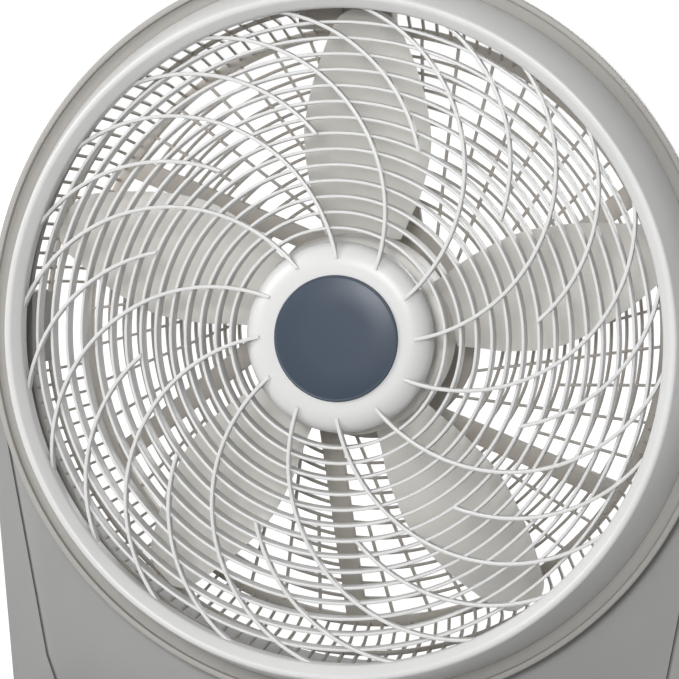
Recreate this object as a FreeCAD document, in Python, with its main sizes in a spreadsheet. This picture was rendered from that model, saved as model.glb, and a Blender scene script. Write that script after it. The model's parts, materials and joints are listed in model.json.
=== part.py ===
# A floor fan: a round head that tilts between the arms of a U-shaped stand.
# The origin is on the floor under the middle of the stand, +Z is up and the fan blows towards -Y.
# The head is drawn in a frame of its own: its Z is the depth behind the grille's ring plane,
# its X points right as seen from the front, and its Y points down.
import FreeCAD, Part
import Sketcher
import math
import os
from FreeCAD import Placement, Rotation, Vector

os.makedirs("parts", exist_ok=True)
doc = FreeCAD.newDocument("floor_fan")
dims = doc.addObject("Spreadsheet::Sheet", "dims")

DRIVING_DIMENSIONS = (
    # where the head hangs
    ("pivot_height", 292), ("pivot_y", 6), ("pivot_depth", 62),
    # front grille
    ("ring_count", 14), ("ring_first_radius", 80), ("ring_pitch", 11.4), ("ring_width", 2.4),
    ("ring_depth", 13), ("ring_front", 3), ("rib_count", 12), ("rib_width", 2.8), ("rib_depth", 7),
    ("rib_proud", 2.5), ("rib_root_radius", 58), ("rib_arc_radius", 125), ("rib_centre_radius", 128),
    ("rib_centre_lead", 74), ("rib_short_ring", 7),
    ("bezel_inner_radius", 238), ("bezel_crest_radius", 247), ("bezel_outer_radius", 263), ("bezel_front", 16),
    ("bezel_edge", 9), ("bezel_skirt", 2), ("bezel_wall", 2.5), ("bezel_round", 2),
    ("cap_radius", 69.7), ("cap_front", 5), ("cap_back", 10), ("cap_wall", 2.5), ("cap_round", 12),
    ("badge_radius", 46), ("badge_thickness", 1.8), ("badge_edge", 0.6),
    # housing ring
    ("lip_radius", 276), ("lip_width", 4.5), ("lip_front_depth", 26), ("flange_depth", 36),
    ("flange_thickness", 6), ("housing_radius", 246.5), ("pivot_block_inner", 243),
    ("pivot_block_outer", 253), ("pivot_block_half", 27),
    ("pivot_block_back", 82),
    # rear grille
    ("basket_flange_radius", 252), ("basket_flange_thickness", 3), ("basket_front_radius", 250),
    ("basket_shoulder_radius", 240), ("basket_shoulder_depth", 85), ("basket_wall", 3.5),
    ("bar_count", 136), ("bar_width", 2), ("hoop_depth", 62), ("hoop_height", 4),
    ("band_inner_radius", 220), ("band_outer_radius", 228), ("band_depth", 103), ("band_height", 9),
    ("rear_ring_count", 10), ("rear_ring_first", 103), ("rear_ring_pitch", 11.5), ("rear_ring_width", 2.2),
    ("rear_ring_depth", 5), ("motor_plate_radius", 84), ("motor_plate_thickness", 5),
    ("strut_count", 6), ("strut_width", 16), ("strut_height", 7), ("strut_offset", 43), ("strut_angle", 278.5),
    ("spoke_count", 24), ("spoke_width", 2.2), ("spoke_short_start", 150),
    # fan blade
    ("blade_count", 5), ("blade_tip_radius", 239), ("blade_angle", 13.7), ("blade_depth", 50),
    ("blade_thickness", 2.4), ("blade_drift", 5), ("hub_radius", 74), ("hub_front", 30), ("hub_back", 68),
    ("hub_wall", 3), ("hub_boss_radius", 12),
    # motor
    ("shaft_radius", 4), ("shaft_front", 16), ("shaft_back", 100), ("nut_radius", 13), ("nut_front", 18),
    ("motor_radius", 48), ("motor_wall", 2.5), ("motor_front", 56), ("motor_split", 80),
    ("bearing_radius", 9), ("bearing_length", 6), ("boss_radius", 13), ("boss_length", 9),
    ("stator_front", 64), ("stator_back", 96), ("rotor_radius", 26), ("rotor_margin", 2),
    # switch, knob, handle
    ("switch_half", 35), ("switch_middle", -11), ("switch_bottom", 224), ("switch_front", 69),
    ("switch_back", 90), ("switch_wall", 2.5), ("switch_face_width", 33),
    ("switch_face_proud", 2), ("lid_post_width", 17),
    ("shelf_half", 64), ("shelf_bottom", 250.5), ("lid_bottom", 258), ("lid_thickness", 4),
    ("knob_height", 245), ("knob_radius", 13.5), ("knob_depth", 15), ("knob_room", 3), ("switch_body", 24),
    ("switch_body_depth", 16), ("switch_shaft_radius", 3), ("gland_offset", 24), ("gland_radius", 6),
    ("gland_length", 12), ("cord_radius", 3.4), ("handle_half", 58), ("handle_rise", 23), ("handle_depth", 26),
    ("handle_thickness", 9), ("handle_front", 50),
    # stand
    ("cutout_radius", 258), ("stand_front_depth", 40), ("stand_half_top", 288), ("stand_half_bottom", 263),
    ("stand_depth", 44), ("stand_flare", 47), ("stand_flare_height", 190), ("stand_bottom", 16),
    ("stand_wall", 3), ("stand_floor", 10),
    ("seam_half_top", 279), ("seam_top_drop", 24), ("seam_half_low", 237.3), ("seam_low_height", 43.3),
    ("seam_half_bottom", 227.4), ("seam_gap", 2.2), ("panel_ledge", 5), ("panel_thickness", 3.5),
    ("panel_boss_radius", 4.5), ("panel_screw_inset", 9),
    ("foot_inner", 188), ("foot_width", 48), ("foot_reach", 83), ("foot_flat", 40), ("foot_toe", 5),
    ("pad_height", 4), ("pad_radius", 11), ("pad_reach", 66),
    # pivots, screws and clearances
    ("pin_radius", 6), ("pin_inner", 245), ("pin_shoulder", 276), ("pin_head_radius", 10),
    ("pin_head_height", 4), ("pivot_cap_radius", 13), ("pivot_cap_height", 8), ("washer_radius", 16),
    ("screw_radius", 2), ("screw_head_radius", 3.5), ("screw_head_height", 2.5), ("screw_edge", 4.3),
    ("screw_boss_radius", 4.2), ("screw_boss_length", 7),
    ("running_clearance", 0.05), ("assembly_clearance", 0.2), ("joint_clearance", 0.5),
)
for row, (alias, value) in enumerate(DRIVING_DIMENSIONS, start=1):
    cell = "A%d" % row
    dims.set(cell, str(value))
    dims.setAlias(cell, alias)
doc.recompute()

sub_parts = []


def size(alias):
    """The number in one cell of the sheet."""
    return float(dims.get(alias))


def bind(thing, formulas):
    """Tie properties of an object to formulas of the sheet."""
    for path, formula in formulas.items():
        thing.setExpression(path, formula)
    return thing


def keep(thing, label):
    """Name an object as a sub-part that is written out."""
    thing.Label = label
    sub_parts.append(thing)
    return thing


def put_in_head(thing):
    """Place an object drawn in the head's frame into the fan."""
    thing.Placement = Placement(Vector(), Rotation(Vector(1, 0, 0), -90))
    return bind(thing, {"Placement.Base.y": "dims.pivot_y - dims.pivot_depth",
                        "Placement.Base.z": "dims.pivot_height"})


def coded_part(label, shape):
    """A sub-part of the head whose shape is worked out in code."""
    thing = doc.addObject("Part::Feature", label)
    thing.Shape = shape
    put_in_head(thing)
    return keep(thing, label)


def outline_sketch(sketch, corners):
    """Draw a closed outline whose corners are pairs of formulas."""
    count = len(corners)
    start = [Vector(50 + 20 * math.cos(2 * math.pi * i / count), 20 * math.sin(2 * math.pi * i / count), 0)
             for i in range(count)]
    for i in range(count):
        sketch.addGeometry(Part.LineSegment(start[i], start[(i + 1) % count]), False)
    for i in range(count):
        sketch.addConstraint(Sketcher.Constraint("Coincident", i, 2, (i + 1) % count, 1))
    for i, (across, along) in enumerate(corners):
        for direction, value, formula in (("DistanceX", start[i].x, across), ("DistanceY", start[i].y, along)):
            number = sketch.addConstraint(Sketcher.Constraint(direction, i, 1, value))
            sketch.setExpression("Constraints[%d]" % number, formula)


def turned_body(label, corners):
    """A body turned about its own Z axis, from corners of radius and height."""
    body = doc.addObject("PartDesign::Body", label)
    sketch = body.newObject("Sketcher::SketchObject", label + "_profile")
    plane = [feature for feature in body.Origin.OriginFeatures if feature.Role == "XZ_Plane"][0]
    sketch.AttachmentSupport = (plane, [""])
    sketch.MapMode = "FlatFace"
    outline_sketch(sketch, corners)
    turning = body.newObject("PartDesign::Revolution", label + "_turning")
    turning.Profile = sketch
    turning.ReferenceAxis = (sketch, ["V_Axis"])
    turning.Angle = 360
    body.Tip = turning
    return body


def prism(name, corners, start, depth):
    """A plate with an outline seen from the front, from one depth of the fan to another."""
    sketch = doc.addObject("Sketcher::SketchObject", name + "_outline")
    sketch.Placement = Placement(Vector(), Rotation(Vector(1, 0, 0), 90))
    outline_sketch(sketch, corners)
    bind(sketch, {"Placement.Base.y": start})
    plate = doc.addObject("Part::Extrusion", name)
    plate.Base = sketch
    plate.DirMode = "Custom"
    plate.Dir = Vector(0, 1, 0)
    plate.Solid = True
    return bind(plate, {"LengthFwd": depth})


def side_prism(name, corners, start, width):
    """A bar with an outline seen from the right side, from one place across the fan to another."""
    sketch = doc.addObject("Sketcher::SketchObject", name + "_outline")
    sketch.Placement = Placement(Vector(), Rotation(Vector(1, 1, 1), 120))
    outline_sketch(sketch, corners)
    bind(sketch, {"Placement.Base.x": start})
    bar = doc.addObject("Part::Extrusion", name)
    bar.Base = sketch
    bar.DirMode = "Custom"
    bar.Dir = Vector(1, 0, 0)
    bar.Solid = True
    return bind(bar, {"LengthFwd": width})


def box(name, corner, sides):
    """A block from a corner and three sides, all formulas."""
    block = doc.addObject("Part::Box", name)
    return bind(block, {"Placement.Base.x": corner[0], "Placement.Base.y": corner[1],
                        "Placement.Base.z": corner[2],
                        "Length": sides[0], "Width": sides[1], "Height": sides[2]})


def rod(name, radius, length, start, towards=(0, 0, 1)):
    """A round rod from a start point, along a direction."""
    thing = doc.addObject("Part::Cylinder", name)
    thing.Placement = Placement(Vector(), Rotation(Vector(0, 0, 1), Vector(*towards)))
    return bind(thing, {"Radius": radius, "Height": length, "Placement.Base.x": start[0],
                        "Placement.Base.y": start[1], "Placement.Base.z": start[2]})


def fused(name, pieces):
    """Several objects as one solid."""
    thing = doc.addObject("Part::MultiFuse", name)
    thing.Shapes = pieces
    return thing


def shared(name, pieces):
    """What several objects have in common."""
    thing = doc.addObject("Part::MultiCommon", name)
    thing.Shapes = pieces
    return thing


def less(name, base, tools):
    """An object with others taken away from it."""
    thing = doc.addObject("Part::Cut", name)
    thing.Base = base
    thing.Tool = tools[0] if len(tools) == 1 else fused(name + "_tools", tools)
    return thing


def tube(inner, outer, front, back):
    """A plain ring about the head's axis."""
    ring = Part.makeCylinder(outer, back - front, Vector(0, 0, front))
    return ring.cut(Part.makeCylinder(inner, back - front, Vector(0, 0, front)))


def seen(radius, angle):
    """A point of the ring plane by its angle, counter-clockwise as seen from the front."""
    turn = math.radians(angle)
    return Vector(radius * math.cos(turn), -radius * math.sin(turn), 0)


def turned_face(corners):
    """A solid turned about the head's axis from corners of radius and depth."""
    points = [Vector(radius, 0, depth) for radius, depth in corners]
    face = Part.Face(Part.makePolygon(points + points[:1]))
    return face.revolve(Vector(), Vector(0, 0, 1), 360)


def rounded(solid, edges):
    """Round the circular edges given as radius, depth and rounding."""
    for radius, depth, rounding in edges:
        chosen = [edge for edge in solid.Edges
                  if isinstance(edge.Curve, Part.Circle) and abs(edge.Curve.Radius - radius) < 0.01
                  and abs(edge.Curve.Center.z - depth) < 0.01]
        solid = solid.makeFillet(rounding, chosen)
    return solid


# Front grille: bezel, hub cap, flat rings and the curved ribs in front of them, moulded in one piece.
def swirl_rib(start_angle, from_radius):
    """One curved rib: a circular arc about a centre that leads the root by a fixed angle."""
    reach = size("bezel_inner_radius") + size("bezel_wall") / 2
    centre_radius = size("rib_centre_radius")
    centre_angle = start_angle + size("rib_centre_lead")
    sides = []
    half_width = size("rib_width") / 2
    for radius in (size("rib_arc_radius") - half_width, size("rib_arc_radius") + half_width):
        bends = []
        for distance in (from_radius, reach):
            bend = (distance ** 2 - centre_radius ** 2 - radius ** 2) / (2 * centre_radius * radius)
            bends.append(-math.degrees(math.acos(bend)))
        sides.append([seen(centre_radius, centre_angle) + seen(radius, centre_angle + bend)
                      for bend in (bends[0], sum(bends) / 2, bends[1])])
    inner, outer = sides
    wire = Part.Wire([Part.Arc(*inner).toShape(), Part.makeLine(inner[2], outer[2]),
                      Part.Arc(*reversed(outer)).toShape(), Part.makeLine(outer[0], inner[0])])
    rib = Part.Face(wire).extrude(Vector(0, 0, size("rib_depth")))
    rib.translate(Vector(0, 0, -size("ring_front") - size("rib_proud")))
    return rib


def ring_radius(number):
    """The middle radius of a front ring, counted from 1."""
    return size("ring_first_radius") + size("ring_pitch") * (number - 1)


bezel_seat = size("flange_depth") - size("flange_thickness")


def bezel():
    """The outer ring of the grille: a narrow crest and a long flank that slopes out to its seat."""
    inner, crest, outer = size("bezel_inner_radius"), size("bezel_crest_radius"), size("bezel_outer_radius")
    wall, soft = size("bezel_wall"), size("bezel_round")
    front, edge, skirt = -size("bezel_front"), -size("bezel_edge"), size("bezel_skirt")
    corners = [(inner, skirt), (inner, edge), (crest - soft, front), (crest + soft, front),
               (outer, bezel_seat), (outer - wall, bezel_seat), (crest, front + wall),
               (crest - soft, front + wall), (inner + wall, edge + wall), (inner + wall, skirt)]
    return rounded(turned_face(corners), [(crest - soft, front, soft), (crest + soft, front, soft)])


def hub_cap():
    """The round cap over the blade's hub, with a soft shoulder."""
    radius, wall = size("cap_radius"), size("cap_wall")
    front, back, soft = -size("cap_front"), size("cap_back"), size("cap_round")
    solid = turned_face([(0, front), (radius, front), (radius, back), (radius - wall, back),
                         (radius - wall, front + wall), (0, front + wall)])
    return rounded(solid, [(radius, front, soft), (radius - wall, front + wall, soft - wall)])


half_ring = size("ring_width") / 2
rings = [tube(ring_radius(number) - half_ring, ring_radius(number) + half_ring,
              -size("ring_front"), size("ring_depth") - size("ring_front"))
         for number in range(1, int(size("ring_count")) + 1)]
rib_step = 360 / size("rib_count")
ribs = []
for number in range(int(size("rib_count"))):
    ribs.append(swirl_rib(number * rib_step, size("rib_root_radius")))
    ribs.append(swirl_rib((number + 0.5) * rib_step, ring_radius(size("rib_short_ring"))))
grille_screw_angles = [40, 140, 220, 270, 320]
grille_screw_radius = size("bezel_outer_radius") - size("bezel_wall") - size("screw_edge")
boss_front = bezel_seat - size("screw_boss_length")
bosses = []
pilot_holes = []
for angle in grille_screw_angles:
    foot = seen(grille_screw_radius, angle)
    bosses.append(Part.makeCylinder(size("screw_boss_radius"), size("screw_boss_length"),
                                    foot + Vector(0, 0, boss_front)))
    pilot_holes.append(Part.makeCylinder(size("screw_radius") + size("running_clearance"),
                                         size("screw_boss_length") - 1, foot + Vector(0, 0, boss_front + 1)))
arch = bezel().multiFuse(bosses)
arch = arch.cut(Part.makeCompound(pilot_holes))
coded_part("front_grille", arch.multiFuse([hub_cap()] + rings + ribs))

badge = turned_body("hub_badge", [
    ("0", "-dims.cap_front"), ("dims.badge_radius", "-dims.cap_front"),
    ("dims.badge_radius", "-dims.cap_front - dims.badge_thickness + dims.badge_edge"),
    ("dims.badge_radius - dims.badge_edge", "-dims.cap_front - dims.badge_thickness"),
    ("0", "-dims.cap_front - dims.badge_thickness")])
keep(put_in_head(badge), "hub_badge")

# Housing ring: the lip around the bezel, the seat behind it and the two pivot blocks.
flange_front = "dims.flange_depth - dims.flange_thickness"
profile = turned_body("housing_profile", [
    ("dims.housing_radius", flange_front), ("dims.lip_radius - dims.lip_width", flange_front),
    ("dims.lip_radius - dims.lip_width", "dims.lip_front_depth"),
    ("dims.lip_radius - 1", "dims.lip_front_depth"), ("dims.lip_radius", "dims.lip_front_depth + 1"),
    ("dims.lip_radius", "dims.flange_depth"), ("dims.housing_radius", "dims.flange_depth")])
housing_pieces = [profile]
housing_holes = []
for side, name in ((-1, "left"), (1, "right")):
    edge = "dims.pivot_block_inner" if side > 0 else "-dims.pivot_block_outer"
    housing_pieces.append(box(name + "_pivot_block", (edge, "-dims.pivot_block_half", flange_front),
                              ("dims.pivot_block_outer - dims.pivot_block_inner", "2 * dims.pivot_block_half",
                               "dims.pivot_block_back - (%s)" % flange_front)))
housing_holes.append(rod("pivot_bore", "dims.pin_radius + dims.running_clearance", "2 * dims.lip_radius",
                         ("-dims.lip_radius", "0", "dims.pivot_depth"), (1, 0, 0)))
for number, angle in enumerate(grille_screw_angles):
    place = seen(grille_screw_radius, angle)
    housing_holes.append(rod("grille_hole_%d" % number, "dims.screw_radius + dims.assembly_clearance",
                             "dims.flange_thickness + 2", (str(place.x), str(place.y), flange_front + " - 1")))
basket_screw_angles = [30, 60, 120, 150, 210, 240, 300, 330]
basket_screw_radius = (size("housing_radius") + size("basket_flange_radius")) / 2
for number, angle in enumerate(basket_screw_angles):
    place = seen(basket_screw_radius, angle)
    housing_holes.append(rod("basket_hole_%d" % number,
                             "0.6 * dims.screw_radius + dims.running_clearance", "9",
                             (str(place.x), str(place.y), "dims.flange_depth - 8")))
housing_ring = less("housing_ring", fused("housing_blank", housing_pieces), housing_holes)
keep(put_in_head(housing_ring), "housing_ring")


# Rear grille: a basket of straight bars, hoops, rear rings, thin spokes, wide struts and the motor plate.
def side_bar(angle):
    """One bar of the side wall, bent inwards at the shoulder."""
    front, shoulder = size("flange_depth") + 1, size("basket_shoulder_depth")
    band, wall = size("band_depth"), size("basket_wall")
    first, second = size("basket_front_radius"), size("basket_shoulder_radius")
    last = size("band_outer_radius") - 1
    corners = [(first, front), (second, shoulder), (last, band + wall), (last - wall, band + wall),
               (last - wall, band + 1), (second - wall, shoulder - wall / 2), (first - wall + 0.5, front)]
    points = [Vector(radius, -size("bar_width") / 2, depth) for radius, depth in corners]
    bar = Part.Face(Part.makePolygon(points + points[:1])).extrude(Vector(0, size("bar_width"), 0))
    bar.rotate(Vector(), Vector(0, 0, 1), -angle)
    return bar


def tangent_spoke(angle, width, from_reach, to_radius, front, depth):
    """A straight spoke that passes the axis at the strut offset."""
    offset = size("strut_offset")
    start = math.sqrt(max(from_reach ** 2 - offset ** 2, 0))
    end = math.sqrt(to_radius ** 2 - offset ** 2)
    spoke = Part.makeBox(end - start, width, depth, Vector(start, offset - width / 2, front))
    spoke.rotate(Vector(), Vector(0, 0, 1), -angle)
    return spoke


def hoop_radius(depth):
    """The outer radius of the side wall at a depth."""
    share = (depth - size("flange_depth")) / (size("basket_shoulder_depth") - size("flange_depth"))
    return size("basket_front_radius") + share * (size("basket_shoulder_radius") - size("basket_front_radius"))


rear_front = size("band_depth")
band_middle = (size("band_inner_radius") + size("band_outer_radius")) / 2
basket = tube(size("basket_front_radius") - size("basket_wall"), size("basket_flange_radius"),
              size("flange_depth"), size("flange_depth") + size("basket_flange_thickness"))
hoop = hoop_radius(size("hoop_depth") + size("hoop_height"))
wall_pieces = [tube(hoop - size("basket_wall") - 0.4, hoop - 0.4, size("hoop_depth"),
                    size("hoop_depth") + size("hoop_height"))]
bar_step = 360 / size("bar_count")
block_half_angle = math.degrees(math.atan(size("pivot_block_half") / size("pivot_block_inner")))
for number in range(int(size("bar_count"))):
    angle = number * bar_step
    from_pivot = min(angle % 180, 180 - angle % 180)
    if from_pivot > block_half_angle + 0.5:
        wall_pieces.append(side_bar(angle))
rear_pieces = [tube(size("band_inner_radius"), size("band_outer_radius"), rear_front,
                    rear_front + size("band_height")),
               Part.makeCylinder(size("motor_plate_radius"), size("motor_plate_thickness"),
                                 Vector(0, 0, rear_front))]
for number in range(int(size("rear_ring_count"))):
    radius = size("rear_ring_first") + number * size("rear_ring_pitch")
    rear_pieces.append(tube(radius - size("rear_ring_width") / 2, radius + size("rear_ring_width") / 2,
                            rear_front + 1, rear_front + 1 + size("rear_ring_depth")))
for number in range(int(size("strut_count"))):
    rear_pieces.append(tangent_spoke(size("strut_angle") + 60 * number, size("strut_width"),
                                     size("motor_plate_radius") - 8, band_middle,
                                     rear_front + 0.5, size("strut_height")))
spoke_step = 360 / size("spoke_count")
for number in range(int(size("spoke_count"))):
    angle = size("strut_angle") + number * spoke_step
    if number % 4:
        rear_pieces.append(tangent_spoke(angle, size("spoke_width"), size("motor_plate_radius") - 4,
                                         band_middle, rear_front + 0.8, size("rear_ring_depth") - 1))
    rear_pieces.append(tangent_spoke(angle + spoke_step / 2, size("spoke_width"), size("spoke_short_start"),
                                     band_middle, rear_front + 0.8, size("rear_ring_depth") - 1))
rear_disc = rear_pieces[0].multiFuse(rear_pieces[1:])
basket = basket.multiFuse(wall_pieces + [rear_disc])
gap = size("assembly_clearance")
room = size("pivot_block_outer") - size("pivot_block_inner") + 10
half = size("pivot_block_half") + gap
cut_outs = []
for side in (-1, 1):
    x = size("pivot_block_inner") - gap - 5 if side > 0 else -size("pivot_block_inner") + gap + 5 - room
    cut_outs.append(Part.makeBox(room, 2 * half, size("pivot_block_back") + gap, Vector(x, -half, 0)))
half = size("switch_half") + gap
box_front = size("switch_front") - size("switch_face_proud") - gap
box_corner = Vector(size("switch_middle") - half, -size("switch_bottom") + gap - 60, box_front)
cut_outs.append(Part.makeBox(2 * half, 60, size("switch_back") + gap - box_front, box_corner))
half = size("knob_radius") + size("knob_room")
knob_corner = Vector(size("switch_middle") - half, -size("switch_bottom") + gap - 60, size("switch_back"))
cut_outs.append(Part.makeBox(2 * half, 60, size("band_depth") - size("switch_back"), knob_corner))
half = size("shelf_half") + gap
cut_outs.append(Part.makeBox(2 * half, 20, size("switch_back") + gap - size("flange_depth"),
                             Vector(-half, -size("shelf_bottom") + gap - 20, size("flange_depth"))))
motor_screw_radius = size("motor_radius") - 12
motor_screw_angles = [45 + 90 * number for number in range(4)]
for angle in motor_screw_angles:
    cut_outs.append(Part.makeCylinder(size("screw_radius") + gap, 20,
                                      seen(motor_screw_radius, angle) + Vector(0, 0, rear_front - 5)))
for angle in basket_screw_angles:
    hole_start = seen(basket_screw_radius, angle) + Vector(0, 0, size("flange_depth") - 5)
    cut_outs.append(Part.makeCylinder(size("screw_radius") * 0.6 + gap, 20, hole_start))
coded_part("rear_grille", basket.cut(Part.makeCompound(cut_outs)))


# Fan blade: five pitched blades lofted through thin cambered sections, on a cup-shaped hub.
def blade_section(reach, width, pitch):
    """A thin cambered section across the blade, at a distance along its middle line."""
    chord = width / math.cos(math.radians(pitch))
    middle = reach * math.tan(math.radians(size("blade_drift") * (reach / size("blade_tip_radius") - 0.6)))
    slope = math.radians(pitch)
    along = Vector(0, math.cos(slope), math.sin(slope))
    across = Vector(0, -math.sin(slope), math.cos(slope))
    centre = Vector(reach, -middle, size("blade_depth"))
    half = size("blade_thickness") / 2
    front = []
    back = []
    for share, bulge in ((-0.5, 0), (0, 0.06 * chord), (0.5, 0)):
        thick = half if share == 0 else half / 2
        spot = centre + along * (share * chord) + across * bulge
        front.append(spot - across * thick)
        back.append(spot + across * thick)
    return Part.Wire([Part.Arc(*front).toShape(), Part.makeLine(front[2], back[2]),
                      Part.Arc(*reversed(back)).toShape(), Part.makeLine(back[0], front[0])])


BLADE_SHAPE = ((70, 50, 31), (77, 55, 30), (105, 75, 26), (142, 88, 22), (174, 81, 20), (198, 68, 18),
               (221, 51, 17), (242, 34, 16))
sections = [blade_section(reach, width, pitch) for reach, width, pitch in BLADE_SHAPE]
tip = Part.makeCylinder(size("blade_tip_radius"), 100)
one_blade = Part.makeLoft(sections, True).common(tip)
blades = []
for number in range(int(size("blade_count"))):
    blade = one_blade.copy()
    blade.rotate(Vector(), Vector(0, 0, 1), -(size("blade_angle") + 360 / size("blade_count") * number))
    blades.append(blade)
wall = size("hub_wall")
hub = turned_face([(0, size("hub_front")), (size("hub_radius"), size("hub_front")),
                   (size("hub_radius"), size("hub_back")), (size("hub_radius") - wall, size("hub_back")),
                   (size("hub_radius") - wall, size("hub_front") + wall),
                   (size("hub_boss_radius"), size("hub_front") + wall),
                   (size("hub_boss_radius"), size("hub_back") - 18), (0, size("hub_back") - 18)])
hub = rounded(hub, [(size("hub_radius"), size("hub_front"), 5)])
hub_room = Part.makeCylinder(size("hub_radius") - wall, 60, Vector(0, 0, size("hub_front") + wall))
outer_blades = [blade.cut(hub_room) for blade in blades]
bore = Part.makeCylinder(size("shaft_radius"), 80, Vector(0, 0, 10))
coded_part("fan_blade", hub.multiFuse(outer_blades).cut(bore))

nut = turned_body("blade_nut", [
    ("dims.shaft_radius", "dims.nut_front"), ("dims.nut_radius - 4", "dims.nut_front"),
    ("dims.nut_radius", "dims.nut_front + 4"), ("dims.nut_radius", "dims.hub_front"),
    ("dims.shaft_radius", "dims.hub_front")])
keep(put_in_head(nut), "blade_nut")

shaft = turned_body("motor_shaft", [
    ("0", "dims.shaft_front"), ("dims.shaft_radius - 0.8", "dims.shaft_front"),
    ("dims.shaft_radius", "dims.shaft_front + 0.8"), ("dims.shaft_radius", "dims.shaft_back"),
    ("0", "dims.shaft_back")])
keep(put_in_head(shaft), "motor_shaft")

# Motor: two shells with bearing bosses, a stator ring and a rotor on the shaft.
front_shell = turned_body("motor_front_shell", [
    ("dims.bearing_radius", "dims.motor_front"), ("dims.motor_radius - 4", "dims.motor_front"),
    ("dims.motor_radius", "dims.motor_front + 4"), ("dims.motor_radius", "dims.motor_split"),
    ("dims.motor_radius - dims.motor_wall", "dims.motor_split"),
    ("dims.motor_radius - dims.motor_wall", "dims.motor_front + dims.motor_wall"),
    ("dims.boss_radius", "dims.motor_front + dims.motor_wall"),
    ("dims.boss_radius", "dims.motor_front + dims.boss_length - 2"),
    ("dims.bearing_radius", "dims.motor_front + dims.boss_length - 2")])
keep(put_in_head(front_shell), "motor_front_shell")

rear_shell_blank = turned_body("rear_shell_turning", [
    ("0", "dims.band_depth"), ("dims.motor_radius - 3", "dims.band_depth"),
    ("dims.motor_radius", "dims.band_depth - 3"), ("dims.motor_radius", "dims.motor_split"),
    ("dims.motor_radius - dims.motor_wall", "dims.motor_split"),
    ("dims.motor_radius - dims.motor_wall", "dims.band_depth - dims.motor_wall"),
    ("dims.boss_radius", "dims.band_depth - dims.motor_wall"),
    ("dims.boss_radius", "dims.band_depth - dims.boss_length + 1"),
    ("dims.bearing_radius", "dims.band_depth - dims.boss_length + 1"),
    ("dims.bearing_radius", "dims.band_depth - dims.motor_wall"),
    ("0", "dims.band_depth - dims.motor_wall")])
screw_holes = []
for number, angle in enumerate(motor_screw_angles):
    place = seen(motor_screw_radius, angle)
    screw_holes.append(rod("motor_hole_%d" % number, "dims.screw_radius + dims.running_clearance", "12",
                           (str(place.x), str(place.y), "dims.band_depth - 6")))
rear_shell = less("motor_rear_shell", rear_shell_blank, screw_holes)
keep(put_in_head(rear_shell), "motor_rear_shell")

stator = turned_body("stator", [
    ("dims.rotor_radius + dims.joint_clearance", "dims.stator_front"),
    ("dims.motor_radius - dims.motor_wall", "dims.stator_front"),
    ("dims.motor_radius - dims.motor_wall", "dims.stator_back"),
    ("dims.rotor_radius + dims.joint_clearance", "dims.stator_back")])
keep(put_in_head(stator), "stator")

rotor = turned_body("rotor", [
    ("dims.shaft_radius", "dims.stator_front + dims.rotor_margin"),
    ("dims.rotor_radius", "dims.stator_front + dims.rotor_margin"),
    ("dims.rotor_radius", "dims.stator_back - dims.rotor_margin"),
    ("dims.shaft_radius", "dims.stator_back - dims.rotor_margin")])
keep(put_in_head(rotor), "rotor")

for label, start in (("front_bearing", "dims.motor_front"),
                     ("rear_bearing", "dims.band_depth - dims.motor_wall - dims.bearing_length")):
    bearing = turned_body(label, [
        ("dims.shaft_radius + dims.running_clearance", start), ("dims.bearing_radius", start),
        ("dims.bearing_radius", start + " + dims.bearing_length"),
        ("dims.shaft_radius + dims.running_clearance", start + " + dims.bearing_length")])
    keep(put_in_head(bearing), label)

# Switch housing: a box through the top of the side wall, with a wider shelf under the lid.
switch_height = "dims.lid_bottom - dims.switch_bottom"
switch_length = "dims.switch_back - dims.switch_front"
shelf_height = "dims.lid_bottom - dims.shelf_bottom"
shelf_length = "dims.switch_back - dims.flange_depth"
switch_left = "dims.switch_middle - dims.switch_half"
housing_blank = fused("switch_blank", [
    box("switch_box", (switch_left, "-dims.lid_bottom", "dims.switch_front"),
        ("2 * dims.switch_half", switch_height, switch_length)),
    box("switch_face", (switch_left, "-dims.lid_bottom", "dims.switch_front - dims.switch_face_proud"),
        ("dims.switch_face_width", switch_height, "dims.switch_face_proud")),
    box("switch_shelf", ("-dims.shelf_half", "-dims.lid_bottom", "dims.flange_depth"),
        ("2 * dims.shelf_half", shelf_height, shelf_length))])
hollow = [
    box("switch_hollow", (switch_left + " + dims.switch_wall", "-dims.lid_bottom - 1",
                          "dims.switch_front + dims.switch_wall"),
        ("2 * (dims.switch_half - dims.switch_wall)", switch_height + " - dims.switch_wall + 1",
         switch_length + " - 2 * dims.switch_wall")),
    box("shelf_hollow", ("-(dims.shelf_half - dims.lid_post_width)", "-dims.lid_bottom - 1",
                         "dims.flange_depth + dims.switch_wall"),
        ("2 * (dims.shelf_half - dims.lid_post_width)", shelf_height + " - dims.switch_wall + 1",
         shelf_length + " - 2 * dims.switch_wall")),
    rod("knob_hole", "dims.switch_shaft_radius + 1", "20",
        ("dims.switch_middle", "-dims.knob_height", "dims.switch_back - 10")),
    rod("gland_hole", "dims.cord_radius + 1", "20",
        ("dims.switch_middle + dims.gland_offset", "-dims.knob_height", "dims.switch_back - 10"))]
lid_screw_places = [(side * (size("shelf_half") - size("lid_post_width") / 2), depth)
                    for side in (-1, 1) for depth in (size("flange_depth") + 7, size("switch_back") - 7)]
for number, (x, depth) in enumerate(lid_screw_places):
    hollow.append(rod("lid_post_hole_%d" % number, "dims.screw_radius + dims.running_clearance",
                      shelf_height + " - dims.switch_wall",
                      (str(x), "-dims.lid_bottom", str(depth)), (0, 1, 0)))
switch_housing = less("switch_housing", housing_blank, hollow)
keep(put_in_head(switch_housing), "switch_housing")

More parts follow.
